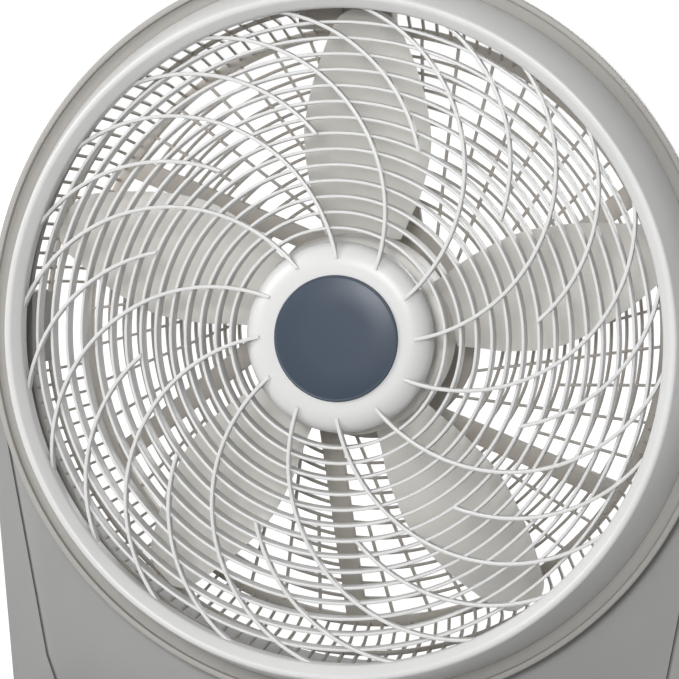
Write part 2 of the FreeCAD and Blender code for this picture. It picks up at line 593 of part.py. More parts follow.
switch_block = box("switch_block", ("dims.switch_middle - dims.switch_body / 2",
                                    "-dims.knob_height - dims.switch_body / 2",
                                    "dims.switch_back - dims.switch_wall - dims.switch_body_depth"),
                   ("dims.switch_body", "dims.switch_body", "dims.switch_body_depth"))
switch_bore = rod("switch_bore", "dims.switch_shaft_radius + dims.running_clearance", "dims.switch_body_depth",
                  ("dims.switch_middle", "-dims.knob_height",
                   "dims.switch_back - dims.switch_wall - dims.switch_body_depth + 6"))
keep(put_in_head(less("rotary_switch", switch_block, [switch_bore])), "rotary_switch")

knob_start = "dims.switch_back + dims.joint_clearance"
spindle = rod("switch_shaft", "dims.switch_shaft_radius", "dims.switch_wall + dims.knob_depth + 6",
              ("0", "0", "0"))
put_in_head(spindle)
bind(spindle, {"Placement.Base.x": "dims.switch_middle",
               "Placement.Base.y": "dims.pivot_y - dims.pivot_depth + dims.switch_back - dims.switch_wall - 9",
               "Placement.Base.z": "dims.pivot_height + dims.knob_height"})
keep(spindle, "switch_shaft")
knob_base = turned_body("knob_turning", [
    ("0", knob_start), ("dims.knob_radius", knob_start), ("dims.knob_radius", knob_start + " + 5"),
    ("dims.knob_radius - 1.5", knob_start + " + 6.5"), ("0", knob_start + " + 6.5")])
knob_grip = box("knob_grip", ("-3.5", "-dims.knob_radius + 1.5", knob_start),
                ("7", "2 * dims.knob_radius - 3", "dims.knob_depth"))
knob_bore = rod("knob_bore", "dims.switch_shaft_radius", "dims.knob_depth - 1.5",
                ("0", "0", knob_start + " - 1"))
knob = less("speed_knob", fused("knob_blank", [knob_base, knob_grip]), [knob_bore])
put_in_head(knob)
bind(knob, {"Placement.Base.x": "dims.switch_middle",
            "Placement.Base.z": "dims.pivot_height + dims.knob_height"})
keep(knob, "speed_knob")

gland = turned_body("cord_gland", [
    ("dims.cord_radius", "dims.switch_back - dims.switch_wall - 2"),
    ("dims.cord_radius + 0.8", "dims.switch_back - dims.switch_wall - 2"),
    ("dims.cord_radius + 0.8", "dims.switch_back"), ("dims.gland_radius + 1.5", "dims.switch_back"),
    ("dims.gland_radius + 1.5", "dims.switch_back + 3"), ("dims.gland_radius", "dims.switch_back + 3"),
    ("dims.gland_radius - 1", "dims.switch_back + dims.gland_length"),
    ("dims.cord_radius", "dims.switch_back + dims.gland_length")])
put_in_head(gland)
bind(gland, {"Placement.Base.x": "dims.switch_middle + dims.gland_offset",
             "Placement.Base.z": "dims.pivot_height + dims.knob_height"})
keep(gland, "cord_gland")


# Carry handle: a lid over the switch housing with an arch to hold.
def carry_handle():
    """The lid plate and the arch, rounded along its edges."""
    half, bottom, top = size("shelf_half"), size("lid_bottom"), size("lid_bottom") + size("lid_thickness")
    front, back = size("flange_depth"), size("switch_back")
    plate = Part.makeBox(2 * half, top - bottom, back - front, Vector(-half, -top, front))
    reach, rise, thick = size("handle_half"), size("handle_rise"), size("handle_thickness")
    depth, start = size("handle_depth"), size("handle_front")
    outer = Part.makeBox(2 * reach, rise + thick, depth, Vector(-reach, -top - rise - thick, start))
    outer = outer.makeFillet(thick * 2, [edge for edge in outer.Edges
                                         if abs(edge.tangentAt(edge.FirstParameter).z) > 0.9
                                         and edge.CenterOfMass.y < -top - rise])
    gap_half = reach - thick
    inner = Part.makeBox(2 * gap_half, rise + 1, depth + 2, Vector(-gap_half, -top - rise, start - 1))
    inner = inner.makeFillet(thick, [edge for edge in inner.Edges
                                     if abs(edge.tangentAt(edge.FirstParameter).z) > 0.9
                                     and edge.CenterOfMass.y < -top - rise / 2])
    bow = outer.cut(inner)
    bow = bow.makeFillet(3, [edge for edge in bow.Edges
                             if abs(edge.BoundBox.ZLength) < 0.01 and edge.BoundBox.YMin < -top - 0.01])
    solid = plate.fuse(bow)
    holes = [Part.makeCylinder(size("screw_radius") + size("assembly_clearance"), 30,
                               Vector(x, -top - 1, depth_at), Vector(0, 1, 0))
             for x, depth_at in lid_screw_places]
    return solid.cut(Part.makeCompound(holes))


coded_part("carry_handle", carry_handle())


# Screws: a shank and a flat head, several of a kind in one node.
def screw_group(places, towards, shank, radius, head_radius, head_height):
    """Screws whose heads sit at the places, with shanks along a direction."""
    direction = Vector(*towards)
    screws = []
    for place in places:
        head = Part.makeCylinder(head_radius, head_height, place - direction * head_height, direction)
        screws.append(head.fuse(Part.makeCylinder(radius, shank, place, direction)))
    return Part.makeCompound(screws)


radius, head_radius, head_height = size("screw_radius"), size("screw_head_radius"), size("screw_head_height")
flange = size("flange_depth")
coded_part("grille_screws", screw_group([seen(grille_screw_radius, angle) + Vector(0, 0, flange)
                                         for angle in grille_screw_angles], (0, 0, -1),
                                        flange - boss_front - 2, radius, head_radius, head_height))
coded_part("motor_screws", screw_group([seen(motor_screw_radius, angle)
                                        + Vector(0, 0, rear_front + size("motor_plate_thickness"))
                                        for angle in motor_screw_angles], (0, 0, -1),
                                       size("motor_plate_thickness") + 5, radius, head_radius, head_height))
basket_screw = radius * 0.6
basket_seat = flange + size("basket_flange_thickness")
coded_part("basket_screws", screw_group([seen(basket_screw_radius, angle) + Vector(0, 0, basket_seat)
                                         for angle in basket_screw_angles], (0, 0, -1),
                                        size("basket_flange_thickness") + 6,
                                        basket_screw, basket_screw * 1.6, 1.5))
lid_top = size("lid_bottom") + size("lid_thickness")
lid_post_depth = size("lid_bottom") - size("shelf_bottom") - size("switch_wall")
lid_shank = size("lid_thickness") + lid_post_depth - 1
coded_part("lid_screws", screw_group([Vector(x, -lid_top, depth) for x, depth in lid_screw_places], (0, 1, 0),
                                     lid_shank, radius, head_radius, head_height))

# Stand: a hollow U-shaped rear shell, and a front panel set into it behind a dark seam.
stand_front = "dims.pivot_y - dims.pivot_depth + dims.stand_front_depth"
stand_back = stand_front + " + dims.stand_depth"
arm_top = "dims.pivot_height + dims.stand_depth / 2"
far = "2 * dims.lip_radius"


def mirrored_outline(right_side):
    """A left-right outline from the corners of its right side, listed from the bottom up."""
    left_side = [("-(%s)" % across, height) for across, height in reversed(right_side)]
    return right_side + left_side


def opening(name, radius):
    """The round opening for the head, carried straight up above the pivot."""
    return fused(name, [
        rod(name + "_round", radius, far, ("0", "-dims.lip_radius", "dims.pivot_height"), (0, 1, 0)),
        box(name + "_above", ("-(%s)" % radius, "-dims.lip_radius", "dims.pivot_height"),
            ("2 * (%s)" % radius, far, far))])


seam_top = "dims.pivot_height - dims.seam_top_drop"
seam = [("dims.seam_half_low", "dims.seam_low_height"), ("dims.seam_half_top", seam_top)]
recess_outline = [("dims.seam_half_bottom", "dims.stand_bottom - 1")] + seam
pocket_outline = [("dims.seam_half_bottom - dims.panel_ledge", "dims.stand_bottom + dims.stand_floor"),
                  ("dims.seam_half_low - dims.panel_ledge", "dims.seam_low_height"),
                  ("dims.seam_half_top - dims.panel_ledge", seam_top + " - dims.panel_ledge")]


def stand_block(name, outline, wall):
    """An outline seen from the front, cut to the side view of arms that flare back towards the floor."""
    plate = prism(name + "_plate", mirrored_outline(outline), stand_front,
                  "dims.stand_depth + dims.stand_flare")
    back = "%s - %s" % (stand_back, wall)
    side = side_prism(name + "_side", [
        (stand_front, "dims.stand_bottom"), (back + " + dims.stand_flare", "dims.stand_bottom"),
        (back, "dims.stand_flare_height"), (back, arm_top), (stand_front, arm_top)],
        "-dims.stand_half_top", "2 * dims.stand_half_top")
    return shared(name, [plate, side])


stand_blank = stand_block("stand_blank", [("dims.stand_half_bottom", "dims.stand_bottom"),
                                          ("dims.stand_half_top", arm_top)], "0")
recess = prism("panel_recess", mirrored_outline(recess_outline), stand_front + " - 1",
               "dims.panel_thickness + 1")
pocket_blank = stand_block("stand_pocket_blank", pocket_outline, "dims.stand_wall")
pocket = less("stand_pocket", pocket_blank, [opening("pocket_wall", "dims.cutout_radius + dims.stand_wall")])
over_arms = less("over_arms", box("over_arms_block", ("-dims.lip_radius - 30", stand_front + " - 1",
                                                      "dims.pivot_height"),
                                  ("2 * dims.lip_radius + 60", "dims.stand_depth + 2", "200")),
                 [rod("arm_round", "dims.stand_depth / 2", "2 * dims.lip_radius + 80",
                      ("-dims.lip_radius - 40", "dims.pivot_y", "dims.pivot_height"), (1, 0, 0))])
stand_tools = [opening("stand_opening", "dims.cutout_radius"), recess, pocket, over_arms,
               rod("pin_bore", "dims.pin_radius", "2 * dims.lip_radius + 80",
                   ("-dims.lip_radius - 40", "dims.pivot_y", "dims.pivot_height"), (1, 0, 0)),
               rod("washer_seat", "dims.washer_radius + 1", "2 * dims.cutout_radius",
                   ("-dims.cutout_radius", "dims.pivot_y", "dims.pivot_height"), (1, 0, 0))]
for side, name in ((-1, "left"), (1, "right")):
    stand_tools.append(rod(name + "_cap_seat", "dims.pivot_cap_radius", "40",
                           ("%d * dims.pin_shoulder" % side, "dims.pivot_y", "dims.pivot_height"),
                           (side, 0, 0)))
panel_screw_places = []
for angle in (200, 220, 245, 295, 320, 340):
    place = seen(size("cutout_radius") + size("panel_screw_inset"), angle)
    panel_screw_places.append((place.x, size("pivot_height") - place.y))
well_radius = "dims.screw_head_radius + dims.joint_clearance"
wells = []
holes = []
for number, (x, z) in enumerate(panel_screw_places):
    wells.append(rod("panel_well_%d" % number, well_radius + " + dims.stand_wall",
                     "dims.stand_wall + dims.stand_flare",
                     (str(x), stand_back + " - dims.stand_wall", str(z)), (0, 1, 0)))
    holes.append(rod("panel_sink_%d" % number, well_radius, "dims.stand_flare", (str(x), stand_back, str(z)),
                     (0, 1, 0)))
    holes.append(rod("panel_hole_%d" % number, "dims.screw_radius + dims.assembly_clearance",
                     "2 * dims.stand_wall", (str(x), stand_back + " - 1.5 * dims.stand_wall", str(z)),
                     (0, 1, 0)))
foot_middle = size("foot_inner") + size("foot_width") / 2
foot_screw_places = [(side * foot_middle, size("pivot_y") + offset)
                     for side in (-1, 1) for offset in (-12, 12)]
for number, (x, y) in enumerate(foot_screw_places):
    holes.append(rod("stand_foot_hole_%d" % number, "dims.screw_radius + dims.running_clearance",
                     "dims.stand_floor", (str(x), str(y), "dims.stand_bottom - 1")))
stand_wells = shared("stand_wells", [fused("panel_wells", wells), stand_blank])
stand_hollow = less("stand_hollow", stand_blank, stand_tools)
stand_walls = fused("stand_walls", [stand_hollow, stand_wells])
keep(less("stand_rear_shell", stand_walls, holes), "stand_rear_shell")

panel_outline = [("dims.seam_half_bottom - dims.seam_gap", "dims.stand_bottom + dims.joint_clearance"),
                 ("dims.seam_half_low - dims.seam_gap", "dims.seam_low_height"),
                 ("dims.seam_half_top - dims.seam_gap", seam_top + " - dims.seam_gap")]
panel_plate = less("panel_plate", prism("panel_blank", mirrored_outline(panel_outline), stand_front,
                                        "dims.panel_thickness"),
                   [opening("panel_opening", "dims.cutout_radius")])
panel_bosses = []
panel_pilots = []
for number, (x, z) in enumerate(panel_screw_places):
    panel_bosses.append(rod("panel_boss_%d" % number, "dims.panel_boss_radius",
                            "dims.stand_depth - dims.stand_wall", (str(x), stand_front, str(z)), (0, 1, 0)))
    panel_pilots.append(rod("panel_pilot_%d" % number, "dims.screw_radius + dims.running_clearance", "16",
                            (str(x), stand_back + " - dims.stand_wall - 15", str(z)), (0, 1, 0)))
keep(less("stand_front_panel", fused("panel_with_bosses", [panel_plate] + panel_bosses), panel_pilots),
     "stand_front_panel")


# Feet: two bars from front to back under the stand, on rubber pads.
foot_back = stand_back + " + dims.stand_flare"


def foot(side, label):
    """A foot bar, cut to a slope at both ends, with room for its screw heads."""
    start = "dims.foot_inner" if side > 0 else "-dims.foot_inner - dims.foot_width"
    bar = side_prism(label + "_bar", [
        ("-dims.foot_reach", "dims.pad_height"), ("dims.foot_reach", "dims.pad_height"),
        ("dims.foot_reach", "dims.pad_height + dims.foot_toe"), (foot_back, "dims.stand_bottom"),
        ("-dims.foot_flat", "dims.stand_bottom"), ("-dims.foot_reach", "dims.pad_height + dims.foot_toe")],
        start, "dims.foot_width")
    tools = []
    for number, (x, y) in enumerate(foot_screw_places):
        if x * side > 0:
            tools.append(rod("%s_hole_%d" % (label, number), "dims.screw_radius + dims.assembly_clearance",
                             "40", (str(x), str(y), "0")))
            tools.append(rod("%s_sink_%d" % (label, number), "dims.screw_head_radius + 0.5",
                             "dims.screw_head_height + 1", (str(x), str(y), "dims.pad_height - 1")))
    return keep(less(label, bar, tools), label)


foot(-1, "left_foot")
foot(1, "right_foot")
pads = [rod("pad_%d_%d" % (side, end), "dims.pad_radius", "dims.pad_height",
            ("%d * (dims.foot_inner + dims.foot_width / 2)" % side, "%d * dims.pad_reach" % end, "0"))
        for side in (-1, 1) for end in (-1, 1)]
pad_group = doc.addObject("Part::Compound", "foot_pads")
pad_group.Links = pads
keep(pad_group, "foot_pads")


def stand_screws(label, places, towards, shank):
    """Screws of the stand, drawn straight in the fan's frame."""
    thing = doc.addObject("Part::Feature", label)
    thing.Shape = screw_group(places, towards, shank, radius, head_radius, head_height)
    thing.Placement = Placement()
    return keep(thing, label)


back_face = size("pivot_y") - size("pivot_depth") + size("stand_front_depth") + size("stand_depth")
stand_screws("panel_screws", [Vector(x, back_face, z) for x, z in panel_screw_places], (0, -1, 0), 14)
sunk = size("pad_height") + head_height
stand_screws("foot_screws", [Vector(x, y, sunk) for x, y in foot_screw_places], (0, 0, 1),
             size("stand_bottom") + size("stand_floor") - sunk - 3)

# Pivots: a shouldered pin in each arm, a friction washer inside and a cap outside.
for side, name in ((-1, "left"), (1, "right")):
    outward = Rotation(Vector(0, 0, 1), Vector(side, 0, 0))
    middle = {"Placement.Base.y": "dims.pivot_y", "Placement.Base.z": "dims.pivot_height"}
    head_end = "dims.pin_shoulder + dims.pin_head_height"
    washer_hole = "dims.pin_radius + dims.assembly_clearance"
    washer_start = "dims.pivot_block_outer + dims.assembly_clearance"
    pieces = {
        "pin": [("0", "dims.pin_inner"), ("dims.pin_radius - 1", "dims.pin_inner"),
                ("dims.pin_radius", "dims.pin_inner + 1"), ("dims.pin_radius", "dims.pin_shoulder"),
                ("dims.pin_head_radius", "dims.pin_shoulder"), ("dims.pin_head_radius", head_end),
                ("0", head_end)],
        "washer": [(washer_hole, washer_start), ("dims.washer_radius", washer_start),
                   ("dims.washer_radius", "dims.cutout_radius"), (washer_hole, "dims.cutout_radius")],
        "cap": [("0", head_end), ("dims.pivot_cap_radius - dims.running_clearance", head_end),
                ("dims.pivot_cap_radius - dims.running_clearance", head_end + " + dims.pivot_cap_height - 2"),
                ("dims.pivot_cap_radius - 2", head_end + " + dims.pivot_cap_height"),
                ("0", head_end + " + dims.pivot_cap_height")]}
    for piece, corners in pieces.items():
        body = turned_body("%s_pivot_%s" % (name, piece), corners)
        body.Placement = Placement(Vector(), outward)
        keep(bind(body, middle), "%s_pivot_%s" % (name, piece))

# Everything is rebuilt and looked at before a file is written.
doc.recompute()
for thing in doc.Objects:
    if "Invalid" in thing.State or "Error" in thing.State:
        raise RuntimeError("%s failed: %s" % (thing.Name, thing.State))
for thing in sub_parts:
    shape = thing.Shape
    if shape.isNull() or not shape.isValid() or not shape.Solids:
        raise RuntimeError("%s has no valid solid" % thing.Label)
for thing in sub_parts:
    thing.Shape.exportStep("parts/%s.step" % thing.Label)
    print(thing.Label, len(thing.Shape.Solids), "solids", round(thing.Shape.Volume / 1000, 1), "cm3")
print(len(sub_parts), "sub-parts")
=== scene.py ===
# %% [markdown]
# # A floor fan with a swirl grille
# This lesson dresses a floor fan: a round head with a swirl-ribbed grille, hung in a U-shaped stand. The
# construction is already there as a frame of named parts. Here the mouldings that show most are modelled
# again with the soft edges that plastic has, every part gets a procedural finish, and the fan is
# photographed on white.

# %% Load the frame
import bmesh
import bpy
import json
import math
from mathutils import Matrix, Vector


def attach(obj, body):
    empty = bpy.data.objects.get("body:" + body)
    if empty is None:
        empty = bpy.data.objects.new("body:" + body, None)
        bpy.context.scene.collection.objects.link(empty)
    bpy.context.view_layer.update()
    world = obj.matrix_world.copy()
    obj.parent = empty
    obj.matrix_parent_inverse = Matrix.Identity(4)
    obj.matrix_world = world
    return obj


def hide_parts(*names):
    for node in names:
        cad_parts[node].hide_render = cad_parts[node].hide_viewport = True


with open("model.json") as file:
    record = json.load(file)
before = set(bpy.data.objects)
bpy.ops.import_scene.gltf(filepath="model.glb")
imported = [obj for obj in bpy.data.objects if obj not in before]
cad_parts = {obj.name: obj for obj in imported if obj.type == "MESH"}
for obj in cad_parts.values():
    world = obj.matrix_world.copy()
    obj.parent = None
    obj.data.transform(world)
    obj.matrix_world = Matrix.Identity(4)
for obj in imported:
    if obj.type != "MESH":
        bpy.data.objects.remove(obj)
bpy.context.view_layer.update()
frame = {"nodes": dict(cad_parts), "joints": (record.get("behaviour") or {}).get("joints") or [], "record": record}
MM = 0.001

# %% [markdown]
# ## Where the head is
# Everything in the head is round, so a point is easiest to give by its radius, its angle as seen from the
# front, and its depth behind the plane of the grille's rings. One small function turns those three into a
# place. The tilt joint tells where the head hangs, and the ring plane lies a fixed depth in front of it.
# Reading the joint, instead of typing its place again, keeps the looks and the construction together.

# %% Head coordinates
PIVOT_DEPTH = 62 * MM
tilt = [joint for joint in frame["joints"] if joint["name"] == "head_tilt"][0]
pivot = Vector(tilt["pos_m"])
ring_plane_y = pivot.y - PIVOT_DEPTH


def in_head(radius, angle, depth):
    """The place of a point of the head: radius and depth in metres, angle in degrees from the right."""
    turn = math.radians(angle)
    return Vector((radius * math.cos(turn), ring_plane_y + depth, pivot.z + radius * math.sin(turn)))


ring_centre = in_head(0, 0, 0)
print("ring plane at y =", round(ring_plane_y, 4), "and centre at z =", round(ring_centre.z, 4))

# %% [markdown]
# ## Finishes
# A finish is a node material. Its colour, roughness and bump come from noise in the object's own space,
# so it needs no picture and no unwrapping, and it stays the same when the fan is seen from another side.
# A few small helpers keep the recipes below short: most add one node and return the socket to go on
# with.

# %% Helpers for finishes
finishes = {}


def start_finish(name):
    """An empty node material: its nodes, links, shader and object coordinates."""
    material = bpy.data.materials.new(name)
    material.use_nodes = True
    nodes, links = material.node_tree.nodes, material.node_tree.links
    shader = nodes["Principled BSDF"]
    place = nodes.new("ShaderNodeTexCoord").outputs["Object"]
    finishes[name] = material
    return nodes, links, shader, place


def noise(nodes, links, place, scale, detail):
    """A noise texture in the object's own space."""
    node = nodes.new("ShaderNodeTexNoise")
    node.inputs["Scale"].default_value = scale
    node.inputs["Detail"].default_value = detail
    links.new(place, node.inputs["Vector"])
    return node.outputs["Fac"]


# %% Helpers that map, mix and raise
def ramp(nodes, links, value, low, high, low_value, high_value):
    """A node that maps one range of numbers to another."""
    node = nodes.new("ShaderNodeMapRange")
    links.new(value, node.inputs["Value"])
    limits = {"From Min": low, "From Max": high, "To Min": low_value, "To Max": high_value}
    for name, number in limits.items():
        node.inputs[name].default_value = number
    return node.outputs["Result"]


def mix_colours(nodes, links, factor, first, second):
    """A node that mixes two colours, typed ones or sockets, by a factor socket."""
    mix = nodes.new("ShaderNodeMix")
    mix.data_type = "RGBA"
    links.new(factor, mix.inputs["Factor"])
    for socket, colour in ((mix.inputs[6], first), (mix.inputs[7], second)):
        if isinstance(colour, tuple):
            socket.default_value = (*colour, 1)
        else:
            links.new(colour, socket)
    return mix.outputs[2]


def bump(nodes, links, shader, height, strength, distance):
    """Raise the surface a little by a height socket."""
    node = nodes.new("ShaderNodeBump")
    node.inputs["Strength"].default_value = strength
    node.inputs["Distance"].default_value = distance
    links.new(height, node.inputs["Height"])
    links.new(node.outputs["Normal"], shader.inputs["Normal"])


# %% [markdown]
# Moulded plastic is never one flat colour. It has a very fine grain from the tool and cloudy differences in
# tone from the pigment, and its corners are painted darker as painted shade. One recipe with other numbers
# makes each plastic of this fan: coarse noise mixes two tones, fine noise drives the bump and the
# roughness, and ambient occlusion finds the corners, where a darker tone is mixed in as painted shade.
# Painting each piece by hand would take far longer.

# %% Plastic finish
CLOUD_SCALE, CLOUD_DETAIL = 9, 5
GRAIN_SCALE, GRAIN_DETAIL, GRAIN_HEIGHT = 1400, 2, 0.15 * MM
# How far the painted shade in the corners reaches, and how many samples find it.
PAINTED_SHADE_REACH, PAINTED_SHADE_SAMPLES = 12 * MM, 4
PLASTIC_SPECULAR = 0.45


def plastic(name, colour, second, roughness, grain, painted_shade=0.25):
    """Moulded plastic: two tones, roughness, strength of grain, and the share of painted shade in the corners."""
    nodes, links, shader, place = start_finish(name)
    cloud = noise(nodes, links, place, CLOUD_SCALE, CLOUD_DETAIL)
    fine = noise(nodes, links, place, GRAIN_SCALE, GRAIN_DETAIL)
    tone = mix_colours(nodes, links, ramp(nodes, links, cloud, 0.35, 0.7, 0, 1), colour, second)
    # Ambient occlusion finds the corners, and the darker tone mixed in there is painted shade, not dirt.
    corner = nodes.new("ShaderNodeAmbientOcclusion")
    corner.inputs["Distance"].default_value = PAINTED_SHADE_REACH
    corner.samples = PAINTED_SHADE_SAMPLES
    painted_shade_tone = tuple(0.62 * part + 0.02 for part in second)
    share = ramp(nodes, links, corner.outputs["AO"], 0.25, 0.8, painted_shade, 0)
    links.new(mix_colours(nodes, links, share, tone, painted_shade_tone), shader.inputs["Base Color"])
    rough = ramp(nodes, links, fine, 0.3, 0.7, roughness - 0.06, roughness + 0.08)
    links.new(rough, shader.inputs["Roughness"])
    shader.inputs["Specular IOR Level"].default_value = PLASTIC_SPECULAR
    bump(nodes, links, shader, fine, grain, GRAIN_HEIGHT)


plastic("grille_white", (0.59, 0.59, 0.583), (0.555, 0.555, 0.548), 0.34, 0.12)
plastic("badge_navy", (0.016, 0.031, 0.053), (0.021, 0.035, 0.056), 0.36, 0.06, 0.1)
# The housing takes a large share of painted shade, which darkens the groove between bezel and lip.
plastic("housing_grey", (0.33, 0.318, 0.297), (0.308, 0.296, 0.277), 0.52, 0.03, 0.8)
plastic("basket_grey", (0.50, 0.47, 0.43), (0.465, 0.435, 0.395), 0.45, 0.2)
plastic("blade_beige", (0.86, 0.84, 0.80), (0.82, 0.80, 0.76), 0.42, 0.15)
plastic("stand_grey", (0.272, 0.272, 0.266), (0.255, 0.255, 0.249), 0.48, 0.35, 0.35)
plastic("rubber", (0.030, 0.030, 0.030), (0.045, 0.044, 0.042), 0.80, 0.6)
plastic("black_plastic", (0.030, 0.030, 0.031), (0.040, 0.039, 0.038), 0.42, 0.3)
plastic("nylon", (0.70, 0.69, 0.63), (0.66, 0.645, 0.585), 0.45, 0.15)
print(len(finishes), "plastics")

# %% [markdown]
# The few metal pieces, such as screws, shaft and motor, share one recipe too: fine noise, stretched along
# one direction where the piece is turned or drawn, changes the roughness more than the colour.

# %% Metal finish
STREAK_SCALE, STREAK_DETAIL, STREAK_HEIGHT = 700, 4, 0.05 * MM
STAIN_SCALE, STAIN_DETAIL = 60, 3


def metal(name, colour, roughness, stretch):
    """Bare metal whose roughness varies in fine streaks; the stretch scales the noise along one axis."""
    nodes, links, shader, place = start_finish(name)
    stretched = nodes.new("ShaderNodeMapping")
    stretched.inputs["Scale"].default_value = (1, stretch, 1)
    links.new(place, stretched.inputs["Vector"])
    fine = noise(nodes, links, stretched.outputs["Vector"], STREAK_SCALE, STREAK_DETAIL)
    stain = noise(nodes, links, place, STAIN_SCALE, STAIN_DETAIL)
    darker = tuple(0.72 * part for part in colour)
    links.new(mix_colours(nodes, links, stain, colour, darker), shader.inputs["Base Color"])
    rough = ramp(nodes, links, fine, 0.3, 0.7, roughness - 0.08, roughness + 0.12)
    links.new(rough, shader.inputs["Roughness"])
    shader.inputs["Metallic"].default_value = 1
    bump(nodes, links, shader, fine, 0.15, STREAK_HEIGHT)


metal("steel", (0.60, 0.60, 0.61), 0.30, 0.05)
metal("motor_cast", (0.50, 0.50, 0.50), 0.48, 1)
metal("laminations", (0.23, 0.23, 0.25), 0.40, 12)
metal("bronze", (0.50, 0.34, 0.17), 0.42, 1)
print(len(finishes), "finishes in all")

# %% [markdown]
# Each part of the frame names the finish that it takes. Parts whose shape is right already, such as
# screws, bearings and pads, need nothing more than this.

# %% Finishes on the frame's parts
for part in frame["record"]["subparts"]:
    node = frame["nodes"][part["node"]]
    node.data.materials.clear()
    node.data.materials.append(finishes[part["material_slot"]])

# %% [markdown]
# ## A builder for meshes
# A moulded grille is many simple bars that run into each other. Joining them with booleans would be slow
# and could leave ragged edges, so each bar or ring is a closed skin of its own, and a builder collects
# the skins of one moulding into one mesh. Two ways of making a skin are enough: lofting sections along a
# path, and turning an outline about the fan's axis, which is a loft in a loop.

# %% Placing a piece
def face_outwards(mesh):
    """Turn the faces of every closed skin outwards."""
    work = bmesh.new()
    work.from_mesh(mesh)
    bmesh.ops.recalc_face_normals(work, faces=work.faces)
    work.to_mesh(mesh)
    work.free()


def settle(piece, body, slot, replaced):
    """Let a piece ride on its body, stand for its CAD node and take its finish."""
    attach(piece, body)
    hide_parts(replaced)
    piece.data.materials.clear()
    piece.data.materials.append(finishes[slot])
    print(piece.name, "on", body, "with", len(piece.data.polygons), "faces")


# %% Mesh builder
class Builder:
    """Collects closed skins and makes one object of them."""

    def __init__(self):
        self.points = []
        self.faces = []

    def loft(self, sections, closed=False):
        """Join sections of equally many points, either in a loop or with a cap on each end."""
        first = len(self.points)
        count = len(sections[0])
        for section in sections:
            self.points.extend(section)
        steps = len(sections) if closed else len(sections) - 1
        for i in range(steps):
            here = first + i * count
            there = first + (i + 1) % len(sections) * count
            for k in range(count):
                after = (k + 1) % count
                self.faces.append((here + k, here + after, there + after, there + k))
        if not closed:
            last = first + (len(sections) - 1) * count
            self.faces.append(tuple(reversed(range(first, first + count))))
            self.faces.append(tuple(range(last, last + count)))

    def turn(self, outline, segments):
        """Turn a closed outline of radius and depth about the fan's axis."""
        self.loft([[in_head(radius, 360 * i / segments, depth) for radius, depth in outline]
                   for i in range(segments)], closed=True)

    def make(self, name, body, slot, replaced, sharp=40):
        """The finished object: outward normals, smooth shading and its place in the frame."""
        mesh = bpy.data.meshes.new(name)
        mesh.from_pydata([tuple(point) for point in self.points], [], self.faces)
        mesh.validate()
        piece = bpy.data.objects.new(name, mesh)
        bpy.context.scene.collection.objects.link(piece)
        face_outwards(mesh)
        mesh.shade_smooth()
        mesh.set_sharp_from_angle(angle=math.radians(sharp))
        settle(piece, body, slot, replaced)


# %% [markdown]
# A knife-sharp corner never catches the light, and a moulding has none. Rounding the corners in the
# outline, before it is turned or swept, costs a few points and needs no bevel afterwards.

# %% Rounded outlines
CORNER_SHARE = 0.45


def soft_outline(corners, rounding, steps=3):
    """A closed outline with each corner rounded by a curve, which takes at most a share of each side."""
    outline = []
    count = len(corners)
    for i, corner in enumerate(corners):
        here = Vector(corner)
        before = Vector(corners[i - 1]) - here
        after = Vector(corners[(i + 1) % count]) - here
        reach = min(rounding, before.length * CORNER_SHARE, after.length * CORNER_SHARE)
        start = here + before.normalized() * reach
        end = here + after.normalized() * reach
        for step in range(steps + 1):
            share = step / steps
            left = 1 - share
            outline.append(tuple(start * left ** 2 + here * 2 * share * left + end * share ** 2))
    return outline


def soft_box(low, high, rounding, steps=2):
    """A rounded rectangle between two corners."""
    return soft_outline([low, (high[0], low[1]), high, (low[0], high[1])], rounding, steps)


print("a rounded rectangle has", len(soft_box((0, 0), (1, 1), 0.1)), "points")

# %% [markdown]
# ## Front grille: bezel
# The grille is one white moulding: a bezel, concentric rings, curved ribs in front of them, and a domed
# cap over the hub. The bezel rises from its inner edge to a narrow crest and falls along a long flank to
# its seat on the housing. It is the same all round, so one outline, with its wall thickness, is turned
# about the axis.

# %% Bezel
SEGMENTS = 240
BEZEL_INNER, BEZEL_CREST, BEZEL_OUTER = 238 * MM, 247 * MM, 263 * MM
BEZEL_FRONT, BEZEL_EDGE, BEZEL_SKIRT = -16 * MM, -9 * MM, 2 * MM
BEZEL_SEAT, BEZEL_WALL, BEZEL_ROUND = 30 * MM, 2.5 * MM, 2 * MM

bezel_outside = [(BEZEL_INNER, BEZEL_SKIRT), (BEZEL_INNER, BEZEL_EDGE),
                 (BEZEL_CREST - BEZEL_ROUND, BEZEL_FRONT), (BEZEL_CREST + BEZEL_ROUND, BEZEL_FRONT),
                 (BEZEL_OUTER, BEZEL_SEAT)]
bezel_inside = [(BEZEL_OUTER - BEZEL_WALL, BEZEL_SEAT), (BEZEL_CREST, BEZEL_FRONT + BEZEL_WALL),
                (BEZEL_CREST - BEZEL_ROUND, BEZEL_FRONT + BEZEL_WALL),
                (BEZEL_INNER + BEZEL_WALL, BEZEL_EDGE + BEZEL_WALL),
                (BEZEL_INNER + BEZEL_WALL, BEZEL_SKIRT)]
grille = Builder()
grille.turn(soft_outline(bezel_outside + bezel_inside, BEZEL_ROUND, 4), SEGMENTS)
print("bezel:", len(grille.faces), "faces")

# %% [markdown]
# ## Front grille: hub cap
# The cap has a flat face for the badge, a long soft shoulder and a skirt. The shoulder is a quarter of an
# ellipse, so a sine and a cosine give its points. The outline starts a little off the axis, because a
# turned outline that touches its axis would pinch there; the badge covers the tiny hole.

# %% Hub cap
CAP_RADIUS, CAP_FRONT, CAP_BACK, CAP_WALL = 69.7 * MM, -5 * MM, 10 * MM, 2.5 * MM
CAP_SHOULDER, CAP_DROP, CAP_HOLE, CAP_STEPS = 18 * MM, 12 * MM, 1 * MM, 12

